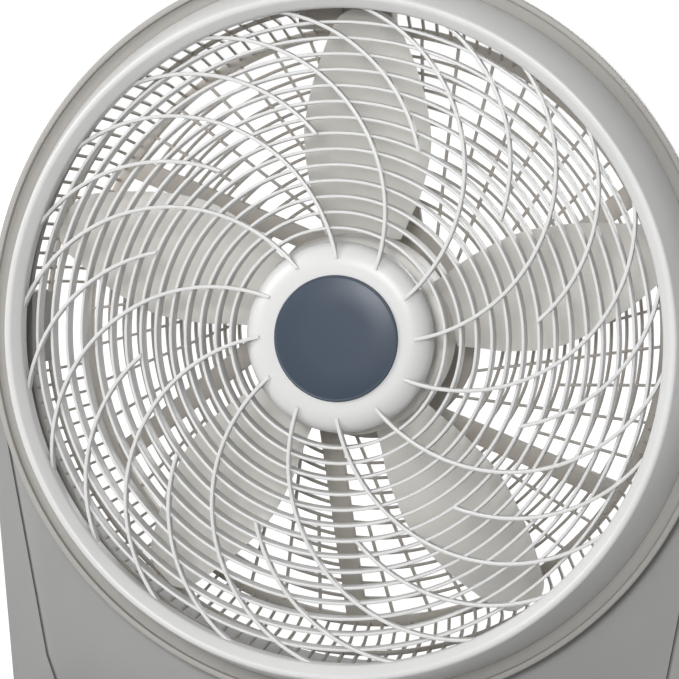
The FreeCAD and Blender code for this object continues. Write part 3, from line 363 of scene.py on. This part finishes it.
cap_outline = [(CAP_HOLE, CAP_FRONT)]
for step in range(CAP_STEPS + 1):
    turn = math.radians(90 * step / CAP_STEPS)
    cap_outline.append((CAP_RADIUS - CAP_SHOULDER * (1 - math.sin(turn)),
                        CAP_FRONT + CAP_DROP * (1 - math.cos(turn))))
cap_outline += [(CAP_RADIUS, CAP_BACK), (CAP_RADIUS - CAP_WALL, CAP_BACK),
                (CAP_RADIUS - CAP_WALL, CAP_FRONT + CAP_DROP),
                (CAP_RADIUS - CAP_SHOULDER, CAP_FRONT + CAP_WALL), (CAP_HOLE, CAP_FRONT + CAP_WALL)]
grille.turn(cap_outline, SEGMENTS)
print("hub cap:", len(cap_outline), "points in its outline")

# %% [markdown]
# ## Front grille: rings and ribs
# Each ring is a deep rounded strip, turned about the axis. The ribs cross in front of the rings. Every
# rib is a circular arc about a centre of its own; full ribs start on the cap, and short ones between them
# start at the seventh ring. The law of cosines gives the place on the arc at a given distance from the
# axis, and the section is swept through such places. A curve object with a bevel would do too, but here
# each section lies at one distance from the axis, so the ends of the ribs follow the round of the rings.

# %% Rings
RING_FIRST, RING_PITCH, RING_COUNT = 80 * MM, 11.4 * MM, 14
RING_WIDTH, RING_DEPTH, RING_FRONT, BAR_ROUND = 2.4 * MM, 13 * MM, -3 * MM, 1 * MM

for number in range(RING_COUNT):
    radius = RING_FIRST + number * RING_PITCH
    grille.turn(soft_box((radius - RING_WIDTH / 2, RING_FRONT),
                         (radius + RING_WIDTH / 2, RING_FRONT + RING_DEPTH), BAR_ROUND), SEGMENTS)
print(RING_COUNT, "rings, the last at", round(radius / MM, 1), "mm")

# %% Ribs
RIB_WIDTH, RIB_DEPTH, RIB_PROUD, RIB_COUNT = 2.8 * MM, 7 * MM, 2.5 * MM, 12
RIB_ARC, RIB_CENTRE, RIB_LEAD, RIB_ROOT = 125 * MM, 128 * MM, 74, 58 * MM
SHORT_RIB_RING, FULL_RIB_STEPS, SHORT_RIB_STEPS = 6, 44, 26


def rib_spot(start_angle, radius, shift):
    """A point of a rib at a distance from the axis, seen from the ring centre; the shift widens the arc."""
    arc = RIB_ARC + shift
    bend = math.acos((radius ** 2 - RIB_CENTRE ** 2 - arc ** 2) / (2 * RIB_CENTRE * arc))
    lead = math.radians(start_angle + RIB_LEAD)
    return Vector((RIB_CENTRE * math.cos(lead) + arc * math.cos(lead - bend), 0,
                   RIB_CENTRE * math.sin(lead) + arc * math.sin(lead - bend)))


def add_rib(builder, start_angle, from_radius, steps):
    """Sweep a rounded section along one rib, into the wall of the bezel."""
    half = RIB_WIDTH / 2
    front = RING_FRONT - RIB_PROUD
    section = soft_box((-half, front), (half, front + RIB_DEPTH), BAR_ROUND)
    reach = BEZEL_INNER + BEZEL_WALL / 2
    sections = []
    for step in range(steps + 1):
        radius = from_radius + (reach - from_radius) * step / steps
        sections.append([ring_centre + rib_spot(start_angle, radius, shift) + Vector((0, depth, 0))
                         for shift, depth in section])
    builder.loft(sections)


short_start = RING_FIRST + SHORT_RIB_RING * RING_PITCH
rib_turn = 360 / RIB_COUNT
for number in range(RIB_COUNT):
    add_rib(grille, rib_turn * number, RIB_ROOT, FULL_RIB_STEPS)
    add_rib(grille, rib_turn * (number + 0.5), short_start, SHORT_RIB_STEPS)
grille.make("swirl_grille", "head", "grille_white", "front_grille")

# %% [markdown]
# ## Hub badge
# The badge is a plain dark disc with a softly domed face. A fine groove and a rounded rim catch a thin
# line of light, which a flat disc would not. One outline makes it, with a tiny hole on the axis.

# %% Hub badge
BADGE_RADIUS, BADGE_THICKNESS, BADGE_HOLE, BADGE_SEGMENTS = 46 * MM, 1.8 * MM, 0.2 * MM, 128
BADGE_DOME, BADGE_DOME_HALFWAY = 0.3 * MM, 0.22 * MM
# Distance in from the edge and depth behind the face, in millimetres, over the groove and the rim.
BADGE_RIM = ((2.2, 0), (1.6, 0.25), (1.1, -0.1), (0.4, 0.1), (0, 0.6))

face = CAP_FRONT - BADGE_THICKNESS
badge_outline = [(BADGE_HOLE, face - BADGE_DOME), (BADGE_RADIUS * 0.5, face - BADGE_DOME_HALFWAY)]
badge_outline += [(BADGE_RADIUS - inset * MM, face + depth * MM) for inset, depth in BADGE_RIM]
badge_outline += [(BADGE_RADIUS, CAP_FRONT), (BADGE_HOLE, CAP_FRONT)]
disc = Builder()
disc.turn(badge_outline, BADGE_SEGMENTS)
disc.make("bare_badge", "head", "badge_navy", "hub_badge", sharp=60)

# %% [markdown]
# ## Housing ring
# Behind the bezel stands a grey ring with a thin lip, and the groove between the two reads as a dark
# line. The ring is a turned outline. Its two pivot blocks are rounded blocks, lofted from side to side,
# that run into the ring where the stand holds the head.

# %% Housing ring
LIP_RADIUS, LIP_WIDTH, LIP_FRONT, LIP_ROUND = 276 * MM, 4.5 * MM, 26 * MM, 1.2 * MM
FLANGE_BACK, HOUSING_RADIUS = 36 * MM, 246.5 * MM
BLOCK_INNER, BLOCK_OUTER, BLOCK_HALF, BLOCK_BACK = 243 * MM, 253 * MM, 27 * MM, 82 * MM
BLOCK_ROUND = 6 * MM

ring = Builder()
lip_inner = LIP_RADIUS - LIP_WIDTH
ring.turn(soft_outline([(HOUSING_RADIUS, BEZEL_SEAT), (lip_inner, BEZEL_SEAT), (lip_inner, LIP_FRONT),
                        (LIP_RADIUS, LIP_FRONT), (LIP_RADIUS, FLANGE_BACK), (HOUSING_RADIUS, FLANGE_BACK)],
                       LIP_ROUND), SEGMENTS)
block = soft_box((-BLOCK_HALF, BEZEL_SEAT), (BLOCK_HALF, BLOCK_BACK), BLOCK_ROUND, 4)
for low, high in ((-BLOCK_OUTER, -BLOCK_INNER), (BLOCK_INNER, BLOCK_OUTER)):
    ring.loft([[ring_centre + Vector((across, depth, height)) for height, depth in block]
               for across in (low, high)])
ring.make("lip_ring", "head", "housing_grey", "housing_ring")

# %% [markdown]
# ## Rear grille: flange and hoop
# The rear grille is a basket. A flange in front sits on the housing, a hoop ties the side wall half way,
# and both leave room for the pivot blocks at the sides; the flange is also lower under the shelf of the
# handle. A ring with such gaps is lofted one kept stretch at a time, which needs no cutting.

# %% Stretches between the gaps
BASKET_FRONT, BASKET_SHOULDER, SHOULDER_DEPTH, BASKET_WALL = 250 * MM, 240 * MM, 85 * MM, 3.5 * MM
SHELF_HALF, SHELF_BOTTOM, GAP, STRETCH_STEP = 64 * MM, 250.5 * MM, 0.2 * MM, 2


def hoop_radius(depth):
    """The outer radius of the side wall at a depth."""
    share = (depth - FLANGE_BACK) / (SHOULDER_DEPTH - FLANGE_BACK)
    return BASKET_FRONT + share * (BASKET_SHOULDER - BASKET_FRONT)


def add_open_ring(builder, outline, stretches):
    """A turned ring with gaps in it, given as the angles where each kept stretch starts and ends."""
    for start, end in stretches:
        steps = max(2, int((end - start) / STRETCH_STEP))
        angles = [start + (end - start) * step / steps for step in range(steps + 1)]
        builder.loft([[in_head(radius, angle, depth) for radius, depth in outline] for angle in angles])


block_gap = math.degrees(math.asin((BLOCK_HALF + GAP) / BASKET_FRONT))
shelf_gap = math.degrees(math.asin((SHELF_HALF + GAP) / BASKET_FRONT))
both_halves = [(block_gap, 180 - block_gap), (180 + block_gap, 360 - block_gap)]
beside_shelf = [(block_gap, 90 - shelf_gap), (90 + shelf_gap, 180 - block_gap), both_halves[1]]
under_shelf = [(90 - shelf_gap, 90 + shelf_gap)]
print("gap of", round(2 * block_gap, 1), "degrees at each pivot block")

# %% Flange and hoop
FLANGE_RADIUS, FLANGE_THICKNESS, FLANGE_ROUND = 252 * MM, 3 * MM, 0.8 * MM
HOOP_DEPTH, HOOP_HEIGHT, HOOP_INSET = 62 * MM, 4 * MM, 0.4 * MM

basket = Builder()
for outer, stretches in ((FLANGE_RADIUS, beside_shelf), (SHELF_BOTTOM - GAP, under_shelf)):
    flange = soft_box((BASKET_FRONT - BASKET_WALL, FLANGE_BACK), (outer, FLANGE_BACK + FLANGE_THICKNESS),
                      FLANGE_ROUND)
    add_open_ring(basket, flange, stretches)
hoop_outer = hoop_radius(HOOP_DEPTH + HOOP_HEIGHT) - HOOP_INSET
hoop = soft_box((hoop_outer - BASKET_WALL, HOOP_DEPTH), (hoop_outer, HOOP_DEPTH + HOOP_HEIGHT),
                FLANGE_ROUND)
add_open_ring(basket, hoop, both_halves)
print("flange and hoop:", len(basket.faces), "faces")

# %% [markdown]
# ## Rear grille: side bars
# Thin bars run back along the side wall from the flange, bend in at a shoulder and end in the rear band.
# They are left out at the pivot blocks. At the switch box they stop at the hoop and go on behind the box,
# except where the knob is. Each bar is one small section, swept along a path of only a few points.

# %% Path of a side bar
BAR_WIDTH, BAND_OUTER, BAND_DEPTH = 2 * MM, 228 * MM, 103 * MM
FLANGE_LAP, BAND_LAP, SHOULDER_BEND, SHOULDER_RUN = 1 * MM, 2 * MM, 1 * MM, 5 * MM
SWITCH_HALF, SWITCH_MIDDLE, SWITCH_BACK, SWITCH_GAP = 35 * MM, -11 * MM, 90 * MM, 1 * MM
KNOB_HALF = 16.5 * MM


def bar_paths(angle):
    """The stretches of one bar, as radius and depth: a whole path, or parts clear of the switch box."""
    middle = BASKET_WALL / 2
    flange_end = (BASKET_FRONT - middle, FLANGE_BACK + FLANGE_LAP)
    band_end = (BAND_OUTER - BAND_LAP - middle, BAND_DEPTH + BAND_LAP)
    shoulder = BASKET_SHOULDER - middle
    from_switch = abs(BASKET_SHOULDER * math.cos(math.radians(angle)) - SWITCH_MIDDLE) - BAR_WIDTH
    if math.sin(math.radians(angle)) < 0 or from_switch > SWITCH_HALF:
        return [[flange_end, (shoulder + SHOULDER_BEND, SHOULDER_DEPTH - SHOULDER_RUN),
                 (shoulder - SHOULDER_BEND, SHOULDER_DEPTH + SHOULDER_BEND), band_end]]
    hoop_back = HOOP_DEPTH + HOOP_HEIGHT / 2
    paths = [[flange_end, (hoop_radius(hoop_back) - middle, hoop_back)]]
    if from_switch > KNOB_HALF:
        start = SWITCH_BACK + SWITCH_GAP
        share = (start - SHOULDER_DEPTH) / (BAND_DEPTH - SHOULDER_DEPTH)
        paths.append([(shoulder + share * (BAND_OUTER - BASKET_SHOULDER), start), band_end])
    return paths


print("a whole bar has", len(bar_paths(270)[0]), "points in its path")

# %% Side bars
BAR_COUNT, SIDE_BAR_ROUND, PIVOT_GAP_ANGLE = 136, 0.6 * MM, 0.5


def clear_of_pivot(angle):
    """False where a pivot block comes through the side wall."""
    from_pivot = min(angle % 180, 180 - angle % 180)
    return from_pivot > math.degrees(math.atan(BLOCK_HALF / BLOCK_INNER)) + PIVOT_GAP_ANGLE


def add_side_bar(builder, angle, path):
    """One stretch of a side bar, swept along a path of radius and depth."""
    half, wall = BAR_WIDTH / 2, BASKET_WALL
    turn = math.radians(angle)
    sideways = Vector((-math.sin(turn), 0, math.cos(turn)))
    section = soft_box((-half, -wall / 2), (half, wall / 2), SIDE_BAR_ROUND, 1)
    builder.loft([[in_head(radius + out, angle, depth) + sideways * across for across, out in section]
                  for radius, depth in path])


bar_angles = [360 * number / BAR_COUNT for number in range(BAR_COUNT)]
kept_angles = [angle for angle in bar_angles if clear_of_pivot(angle)]
for angle in kept_angles:
    for path in bar_paths(angle):
        add_side_bar(basket, angle, path)
print(len(kept_angles), "side bars of", BAR_COUNT)

# %% [markdown]
# ## Rear grille: the rear face
# A flat band closes the rim. Inside it lie rings, thin spokes, six wide struts and the plate that carries
# the motor. The spokes do not point at the axis: each passes it at a fixed offset, which gives the rear
# its twist. Every fourth spoke is a strut, and a short spoke stands half way between each two.

# %% Band and rear rings
BAND_INNER, BAND_HEIGHT, BAND_ROUND = 220 * MM, 9 * MM, 1.5 * MM
REAR_RING_FIRST, REAR_RING_PITCH, REAR_RING_COUNT = 103 * MM, 11.5 * MM, 10
REAR_RING_WIDTH, REAR_RING_DEPTH, REAR_RING_SET, REAR_RING_ROUND = 2.2 * MM, 5 * MM, 1 * MM, 0.8 * MM

band = soft_box((BAND_INNER, BAND_DEPTH), (BAND_OUTER, BAND_DEPTH + BAND_HEIGHT), BAND_ROUND)
basket.turn(band, SEGMENTS)
ring_front = BAND_DEPTH + REAR_RING_SET
for number in range(REAR_RING_COUNT):
    radius = REAR_RING_FIRST + number * REAR_RING_PITCH
    rear_ring = soft_box((radius - REAR_RING_WIDTH / 2, ring_front),
                         (radius + REAR_RING_WIDTH / 2, ring_front + REAR_RING_DEPTH), REAR_RING_ROUND, 1)
    basket.turn(rear_ring, SEGMENTS)
print(REAR_RING_COUNT, "rear rings, the last at", round(radius / MM, 1), "mm")

# %% Spokes and struts
PLATE_RADIUS = 84 * MM
SPOKE_COUNT, STRUT_EVERY, SPOKE_OFFSET, SPOKE_ANGLE = 24, 4, 43 * MM, 278.5
STRUT_START, SPOKE_START, SHORT_SPOKE_START = PLATE_RADIUS - 8 * MM, PLATE_RADIUS - 4 * MM, 150 * MM
# Width, front, height and rounding of a strut and of a thin spoke.
STRUT = (16 * MM, BAND_DEPTH + 0.5 * MM, 7 * MM, 2 * MM)
SPOKE = (2.2 * MM, BAND_DEPTH + 0.8 * MM, REAR_RING_DEPTH - 1 * MM, 0.7 * MM)


def add_spoke(builder, angle, from_radius, bar):
    """A straight rear spoke that passes the axis at the spoke offset and ends in the band."""
    width, front, height, rounding = bar
    turn = math.radians(angle)
    outwards = Vector((math.cos(turn), 0, math.sin(turn)))
    sideways = Vector((math.sin(turn), 0, -math.cos(turn)))
    beside_axis = ring_centre + sideways * SPOKE_OFFSET
    section = soft_box((-width / 2, front), (width / 2, front + height), rounding)
    sections = []
    for radius in (from_radius, (BAND_INNER + BAND_OUTER) / 2):
        along = math.sqrt(radius ** 2 - SPOKE_OFFSET ** 2)
        sections.append([beside_axis + outwards * along + sideways * across + Vector((0, back, 0))
                         for across, back in section])
    builder.loft(sections)


spoke_turn = 360 / SPOKE_COUNT
for number in range(SPOKE_COUNT):
    angle = SPOKE_ANGLE + spoke_turn * number
    if number % STRUT_EVERY == 0:
        add_spoke(basket, angle, STRUT_START, STRUT)
    else:
        add_spoke(basket, angle, SPOKE_START, SPOKE)
    add_spoke(basket, angle + spoke_turn / 2, SHORT_SPOKE_START, SPOKE)
print(SPOKE_COUNT // STRUT_EVERY, "struts and", 2 * SPOKE_COUNT - SPOKE_COUNT // STRUT_EVERY, "thin spokes")

# %% Motor plate
PLATE_THICKNESS, PLATE_HOLE, PLATE_SEGMENTS = 5 * MM, 0.3 * MM, 128

plate_back = BAND_DEPTH + PLATE_THICKNESS
basket.turn(soft_outline([(PLATE_HOLE, BAND_DEPTH), (PLATE_RADIUS, BAND_DEPTH), (PLATE_RADIUS, plate_back),
                          (PLATE_HOLE, plate_back)], BAND_ROUND), PLATE_SEGMENTS)
basket.make("basket_grille", "head", "basket_grey", "rear_grille")

# %% [markdown]
# ## Fan blade: one section
# Five pitched blades stand on a cup-shaped hub. A blade is lofted: at a few distances along its middle
# line it has a width and a pitch, and a smooth curve through those values gives every section between
# them. Each section is a thin cambered strip with rounded edges. Sculpting could give this shape too, but
# not from a few numbers that are easy to change.

# %% Blade section
BLADE_DEPTH, BLADE_TIP, BLADE_THICKNESS = 50 * MM, 239 * MM, 2.4 * MM
BLADE_CAMBER, BLADE_EDGE, BLADE_DRIFT, DRIFT_MIDDLE = 0.06, 0.25, 5, 0.6
CHORD_STEPS = 14
# Distance from the axis and width in millimetres, and pitch in degrees.
BLADE_SHAPE = ((70, 50, 31), (77, 55, 30), (105, 75, 26), (142, 88, 22), (174, 81, 20), (198, 68, 18),
               (221, 51, 17), (242, 34, 16))


def blade_value(distance, column):
    """Width or pitch at a distance from the axis, on a smooth curve through the blade's shape."""
    rows = BLADE_SHAPE
    k = max(i for i in range(len(rows) - 1) if rows[i][0] <= distance or i == 0)
    around = [rows[min(max(i, 0), len(rows) - 1)] for i in (k - 1, k, k + 1, k + 2)]
    share = (distance - around[1][0]) / (around[2][0] - around[1][0])
    a, b, c, d = [row[column] for row in around]
    return b + 0.5 * share * (c - a + share * (2 * a - 5 * b + 4 * c - d + share * (3 * (b - c) + d - a)))


def blade_section(distance, narrowing, angle):
    """A closed strip of points across the blade, at a distance from the axis in millimetres."""
    slope = math.radians(blade_value(distance, 2))
    chord = blade_value(distance, 1) * narrowing * MM / math.cos(slope)
    reach = distance * MM
    middle = reach * math.tan(math.radians(BLADE_DRIFT * (reach / BLADE_TIP - DRIFT_MIDDLE)))
    turn = math.radians(angle)
    outwards = Vector((math.cos(turn), 0, math.sin(turn)))
    sideways = Vector((-math.sin(turn), 0, math.cos(turn)))
    front, back = [], []
    for step in range(CHORD_STEPS + 1):
        place = step / CHORD_STEPS - 0.5
        bulge = BLADE_CAMBER * chord * (1 - 4 * place ** 2)
        fullness = BLADE_EDGE + (1 - BLADE_EDGE) * math.sqrt(max(0, 1 - (2 * place) ** 4))
        for row, side in ((front, -1), (back, 1)):
            off = bulge + side * BLADE_THICKNESS / 2 * fullness
            across = middle - place * chord * math.cos(slope) + off * math.sin(slope)
            depth = BLADE_DEPTH + place * chord * math.sin(slope) + off * math.cos(slope)
            row.append(in_head(0, 0, depth) + outwards * reach + sideways * across)
    return front + back[::-1]


print("one section has", len(blade_section(BLADE_SHAPE[0][0], 1, 0)), "points")

# %% [markdown]
# ## Fan blade: blades and hub
# The sections are placed from root to tip. The last ones narrow quickly, which rounds the tip. The hub is
# a cup with a boss for the shaft, turned from one outline.

# %% Blades and hub
BLADE_COUNT, BLADE_ANGLE, BLADE_STEPS = 5, 13.7, 30
BLADE_ROOT, TIP_START, TIP_LENGTH, TIP_STEPS = 71, 226, 11.5, 8
TIP_ROUND, TIP_POWER = 0.93, 0.6
HUB_RADIUS, HUB_FRONT, HUB_BACK, HUB_WALL = 74 * MM, 30 * MM, 68 * MM, 3 * MM
SHAFT_RADIUS, BOSS_RADIUS, BOSS_SHORTER, HUB_ROUND, HUB_SEGMENTS = 4 * MM, 12 * MM, 18 * MM, 4 * MM, 160

fan = Builder()
for number in range(BLADE_COUNT):
    angle = BLADE_ANGLE + 360 / BLADE_COUNT * number
    sections = []
    for step in range(BLADE_STEPS + 1):
        sections.append(blade_section(BLADE_ROOT + (TIP_START - BLADE_ROOT) * step / BLADE_STEPS, 1, angle))
    for step in range(1, TIP_STEPS + 1):
        share = step / TIP_STEPS
        narrowing = math.sqrt(1 - (TIP_ROUND * share) ** 2) ** TIP_POWER
        sections.append(blade_section(TIP_START + TIP_LENGTH * share, narrowing, angle))
    fan.loft(sections)
cup_inner, cup_floor, boss_back = HUB_RADIUS - HUB_WALL, HUB_FRONT + HUB_WALL, HUB_BACK - BOSS_SHORTER
fan.turn(soft_outline([(SHAFT_RADIUS, HUB_FRONT), (HUB_RADIUS, HUB_FRONT), (HUB_RADIUS, HUB_BACK),
                       (cup_inner, HUB_BACK), (cup_inner, cup_floor), (BOSS_RADIUS, cup_floor),
                       (BOSS_RADIUS, boss_back), (SHAFT_RADIUS, boss_back)], HUB_ROUND, 4), HUB_SEGMENTS)
fan.make("bladed_fan", "blade", "blade_beige", "fan_blade", sharp=50)

# %% [markdown]
# ## Soft edges for the other mouldings
# The stand, the feet, the switch box and the knob already have the right shape, but a moulding has no
# knife edges. A copy of each gets its flat faces joined into single ones, and then a narrow bevel on
# every real edge. The copy stands in for the plain part, so the part itself is never changed.

# %% Softened mouldings
WELD_DISTANCE, FLAT_ANGLE, EDGE_ANGLE, SHADING_ANGLE = 0.01 * MM, 0.5, 40, 32
BEVEL_SEGMENTS = 3


def softened(node, body, slot, width):
    """A copy of a part with a narrow bevel along its edges."""
    mesh = frame["nodes"][node].data.copy()
    mesh.name = "soft_" + node
    piece = bpy.data.objects.new("soft_" + node, mesh)
    bpy.context.scene.collection.objects.link(piece)
    weld = piece.modifiers.new("join_points", "WELD")
    weld.merge_threshold = WELD_DISTANCE
    flat = piece.modifiers.new("join_flats", "DECIMATE")
    flat.decimate_type = "DISSOLVE"
    flat.angle_limit = math.radians(FLAT_ANGLE)
    edge = piece.modifiers.new("soft_edges", "BEVEL")
    edge.width = width
    edge.segments = BEVEL_SEGMENTS
    edge.limit_method = "ANGLE"
    edge.angle_limit = math.radians(EDGE_ANGLE)
    graph = bpy.context.evaluated_depsgraph_get()
    piece.data = bpy.data.meshes.new_from_object(piece.evaluated_get(graph))
    piece.modifiers.clear()
    piece.data.shade_smooth()
    piece.data.set_sharp_from_angle(angle=math.radians(SHADING_ANGLE))
    settle(piece, body, slot, node)


softened("stand_rear_shell", "stand", "stand_grey", 1.6 * MM)
softened("stand_front_panel", "stand", "stand_grey", 0.8 * MM)
softened("left_foot", "stand", "stand_grey", 2 * MM)
softened("right_foot", "stand", "stand_grey", 2 * MM)
softened("switch_housing", "head", "basket_grey", 1 * MM)
softened("speed_knob", "knob", "housing_grey", 0.6 * MM)

# %% [markdown]
# ## Camera
# The photograph looks slightly from the right and from above with a long lens, and is cropped inside the
# object. The camera stands back along that direction and aims at the middle of the ring plane. A small
# shift, given in pixels of the photograph, brings the middle to its place without turning the camera.

# %% Camera
YAW, PITCH = math.radians(13.7), math.radians(4.5)
DISTANCE, LENS, SENSOR = 2.4, 175.6, 36
PHOTO_PIXELS, SHIFT_ACROSS, SHIFT_UP = 679, 1.9, -1.5

back = Vector((math.sin(YAW) * math.cos(PITCH), -math.cos(YAW) * math.cos(PITCH), math.sin(PITCH)))
camera_data = bpy.data.cameras.new("camera")
camera_data.lens = LENS
camera_data.sensor_width = SENSOR
camera_data.shift_x = SHIFT_ACROSS / PHOTO_PIXELS
camera_data.shift_y = SHIFT_UP / PHOTO_PIXELS
camera = bpy.data.objects.new("camera", camera_data)
camera.location = ring_centre + back * DISTANCE
camera.rotation_euler = (-back).to_track_quat("-Z", "Y").to_euler()
bpy.context.scene.collection.objects.link(camera)
bpy.context.scene.camera = camera
print("camera at", [round(part, 3) for part in camera.location])

# %% [markdown]
# ## Floor
# The floor is plain and white, and keeps the soft shadow under the feet. A white floor under soft light
# renders grey, so it also glows, but only for rays that show the background, straight or in a reflection,
# and not as a lamp. Far away, where the lamps don't reach, it glows more, so that it stays white up to the
# horizon.

# %% Rays that show the background
def number_node(nodes, links, operation, first, second):
    """A node that works out one number from two sockets."""
    node = nodes.new("ShaderNodeMath")
    node.operation = operation
    links.new(first, node.inputs[0])
    links.new(second, node.inputs[1])
    return node.outputs["Value"]


def background_rays(nodes, links):
    """1 for the rays that show the background: from the camera, off a shiny face or through glass."""
    ray = nodes.new("ShaderNodeLightPath").outputs
    shown = number_node(nodes, links, "MAXIMUM", ray["Is Camera Ray"], ray["Is Glossy Ray"])
    return number_node(nodes, links, "MAXIMUM", shown, ray["Is Transmission Ray"])


# %% Floor finish
FLOOR_TONE, FLOOR_ROUGHNESS = 0.5, 0.9
GLOW_FROM, GLOW_TO, GLOW_NEAR, GLOW_FAR = 0.5, 3.5, 0.6, 0.84


def floor_finish():
    """A matt floor that glows for background rays, more so far from the fan."""
    material = bpy.data.materials.new("white_floor")
    material.use_nodes = True
    nodes, links = material.node_tree.nodes, material.node_tree.links
    matt = nodes["Principled BSDF"]
    matt.inputs["Base Color"].default_value = (FLOOR_TONE, FLOOR_TONE, FLOOR_TONE, 1)
    matt.inputs["Roughness"].default_value = FLOOR_ROUGHNESS
    distance = nodes.new("ShaderNodeVectorMath")
    distance.operation = "LENGTH"
    links.new(nodes.new("ShaderNodeTexCoord").outputs["Object"], distance.inputs[0])
    farther = ramp(nodes, links, distance.outputs["Value"], GLOW_FROM, GLOW_TO, GLOW_NEAR, GLOW_FAR)
    glow = nodes.new("ShaderNodeEmission")
    strength = number_node(nodes, links, "MULTIPLY", background_rays(nodes, links), farther)
    links.new(strength, glow.inputs["Strength"])
    both = nodes.new("ShaderNodeAddShader")
    links.new(matt.outputs["BSDF"], both.inputs[0])
    links.new(glow.outputs["Emission"], both.inputs[1])
    links.new(both.outputs["Shader"], nodes["Material Output"].inputs["Surface"])
    return material


print("floor glow from", GLOW_NEAR, "near the fan to", GLOW_FAR, "far away")

# %% Floor
FLOOR_REACH = 40

floor_mesh = bpy.data.meshes.new("floor")
floor_corners = [(-FLOOR_REACH, -FLOOR_REACH, 0), (FLOOR_REACH, -FLOOR_REACH, 0),
                 (FLOOR_REACH, FLOOR_REACH, 0), (-FLOOR_REACH, FLOOR_REACH, 0)]
floor_mesh.from_pydata(floor_corners, [], [(0, 1, 2, 3)])
floor_mesh.materials.append(floor_finish())
floor = bpy.data.objects.new("floor", floor_mesh)
bpy.context.scene.collection.objects.link(floor)
print("floor reaches", FLOOR_REACH, "m each way")

# %% [markdown]
# ## Lamps
# Large lamps give soft shadows. The key lamp stands on the upper left, one in front reaches through the
# grille to the blades, and two more, above and behind, keep the other sides from falling into the dark.

# %% Lamps
def soft_light(name, place, size, power):
    """A square lamp that faces the fan: its place and size in metres, its power in watts."""
    data = bpy.data.lights.new(name, "AREA")
    data.shape = "SQUARE"
    data.size = size
    data.energy = power
    light = bpy.data.objects.new(name, data)
    light.location = place
    light.rotation_euler = (ring_centre - Vector(place)).to_track_quat("-Z", "Y").to_euler()
    bpy.context.scene.collection.objects.link(light)
    print(name, "lamp of", power, "W")


soft_light("key", (-1.8, -1.3, 1.3), 0.9, 30)
soft_light("front", (0.1, -2.5, 0.95), 0.7, 35)
soft_light("top", (0.0, 0.4, 2.6), 1.6, 6)
soft_light("rear", (0.9, 2.6, 1.2), 1.2, 22)

# %% [markdown]
# ## Light of the room
# The world is white where the background shows, and a weaker light from all around elsewhere, a little
# stronger on the left. The Standard view shows a colour about as it is written.

# %% Light of the room
ROOM_LEFT, ROOM_RIGHT = 0.54, 0.36

world = bpy.data.worlds.new("white")
world.use_nodes = True
bpy.context.scene.world = world
nodes, links = world.node_tree.nodes, world.node_tree.links
background = nodes["Background"]
background.inputs["Color"].default_value = (1, 1, 1, 1)
direction = nodes.new("ShaderNodeSeparateXYZ")
links.new(nodes.new("ShaderNodeTexCoord").outputs["Generated"], direction.inputs["Vector"])
room = ramp(nodes, links, direction.outputs["X"], -1, 1, ROOM_LEFT, ROOM_RIGHT)
level = number_node(nodes, links, "MAXIMUM", room, background_rays(nodes, links))
links.new(level, background.inputs["Strength"])
bpy.context.scene.view_settings.view_transform = "Standard"
print("room light from", ROOM_LEFT, "on the left to", ROOM_RIGHT, "on the right")
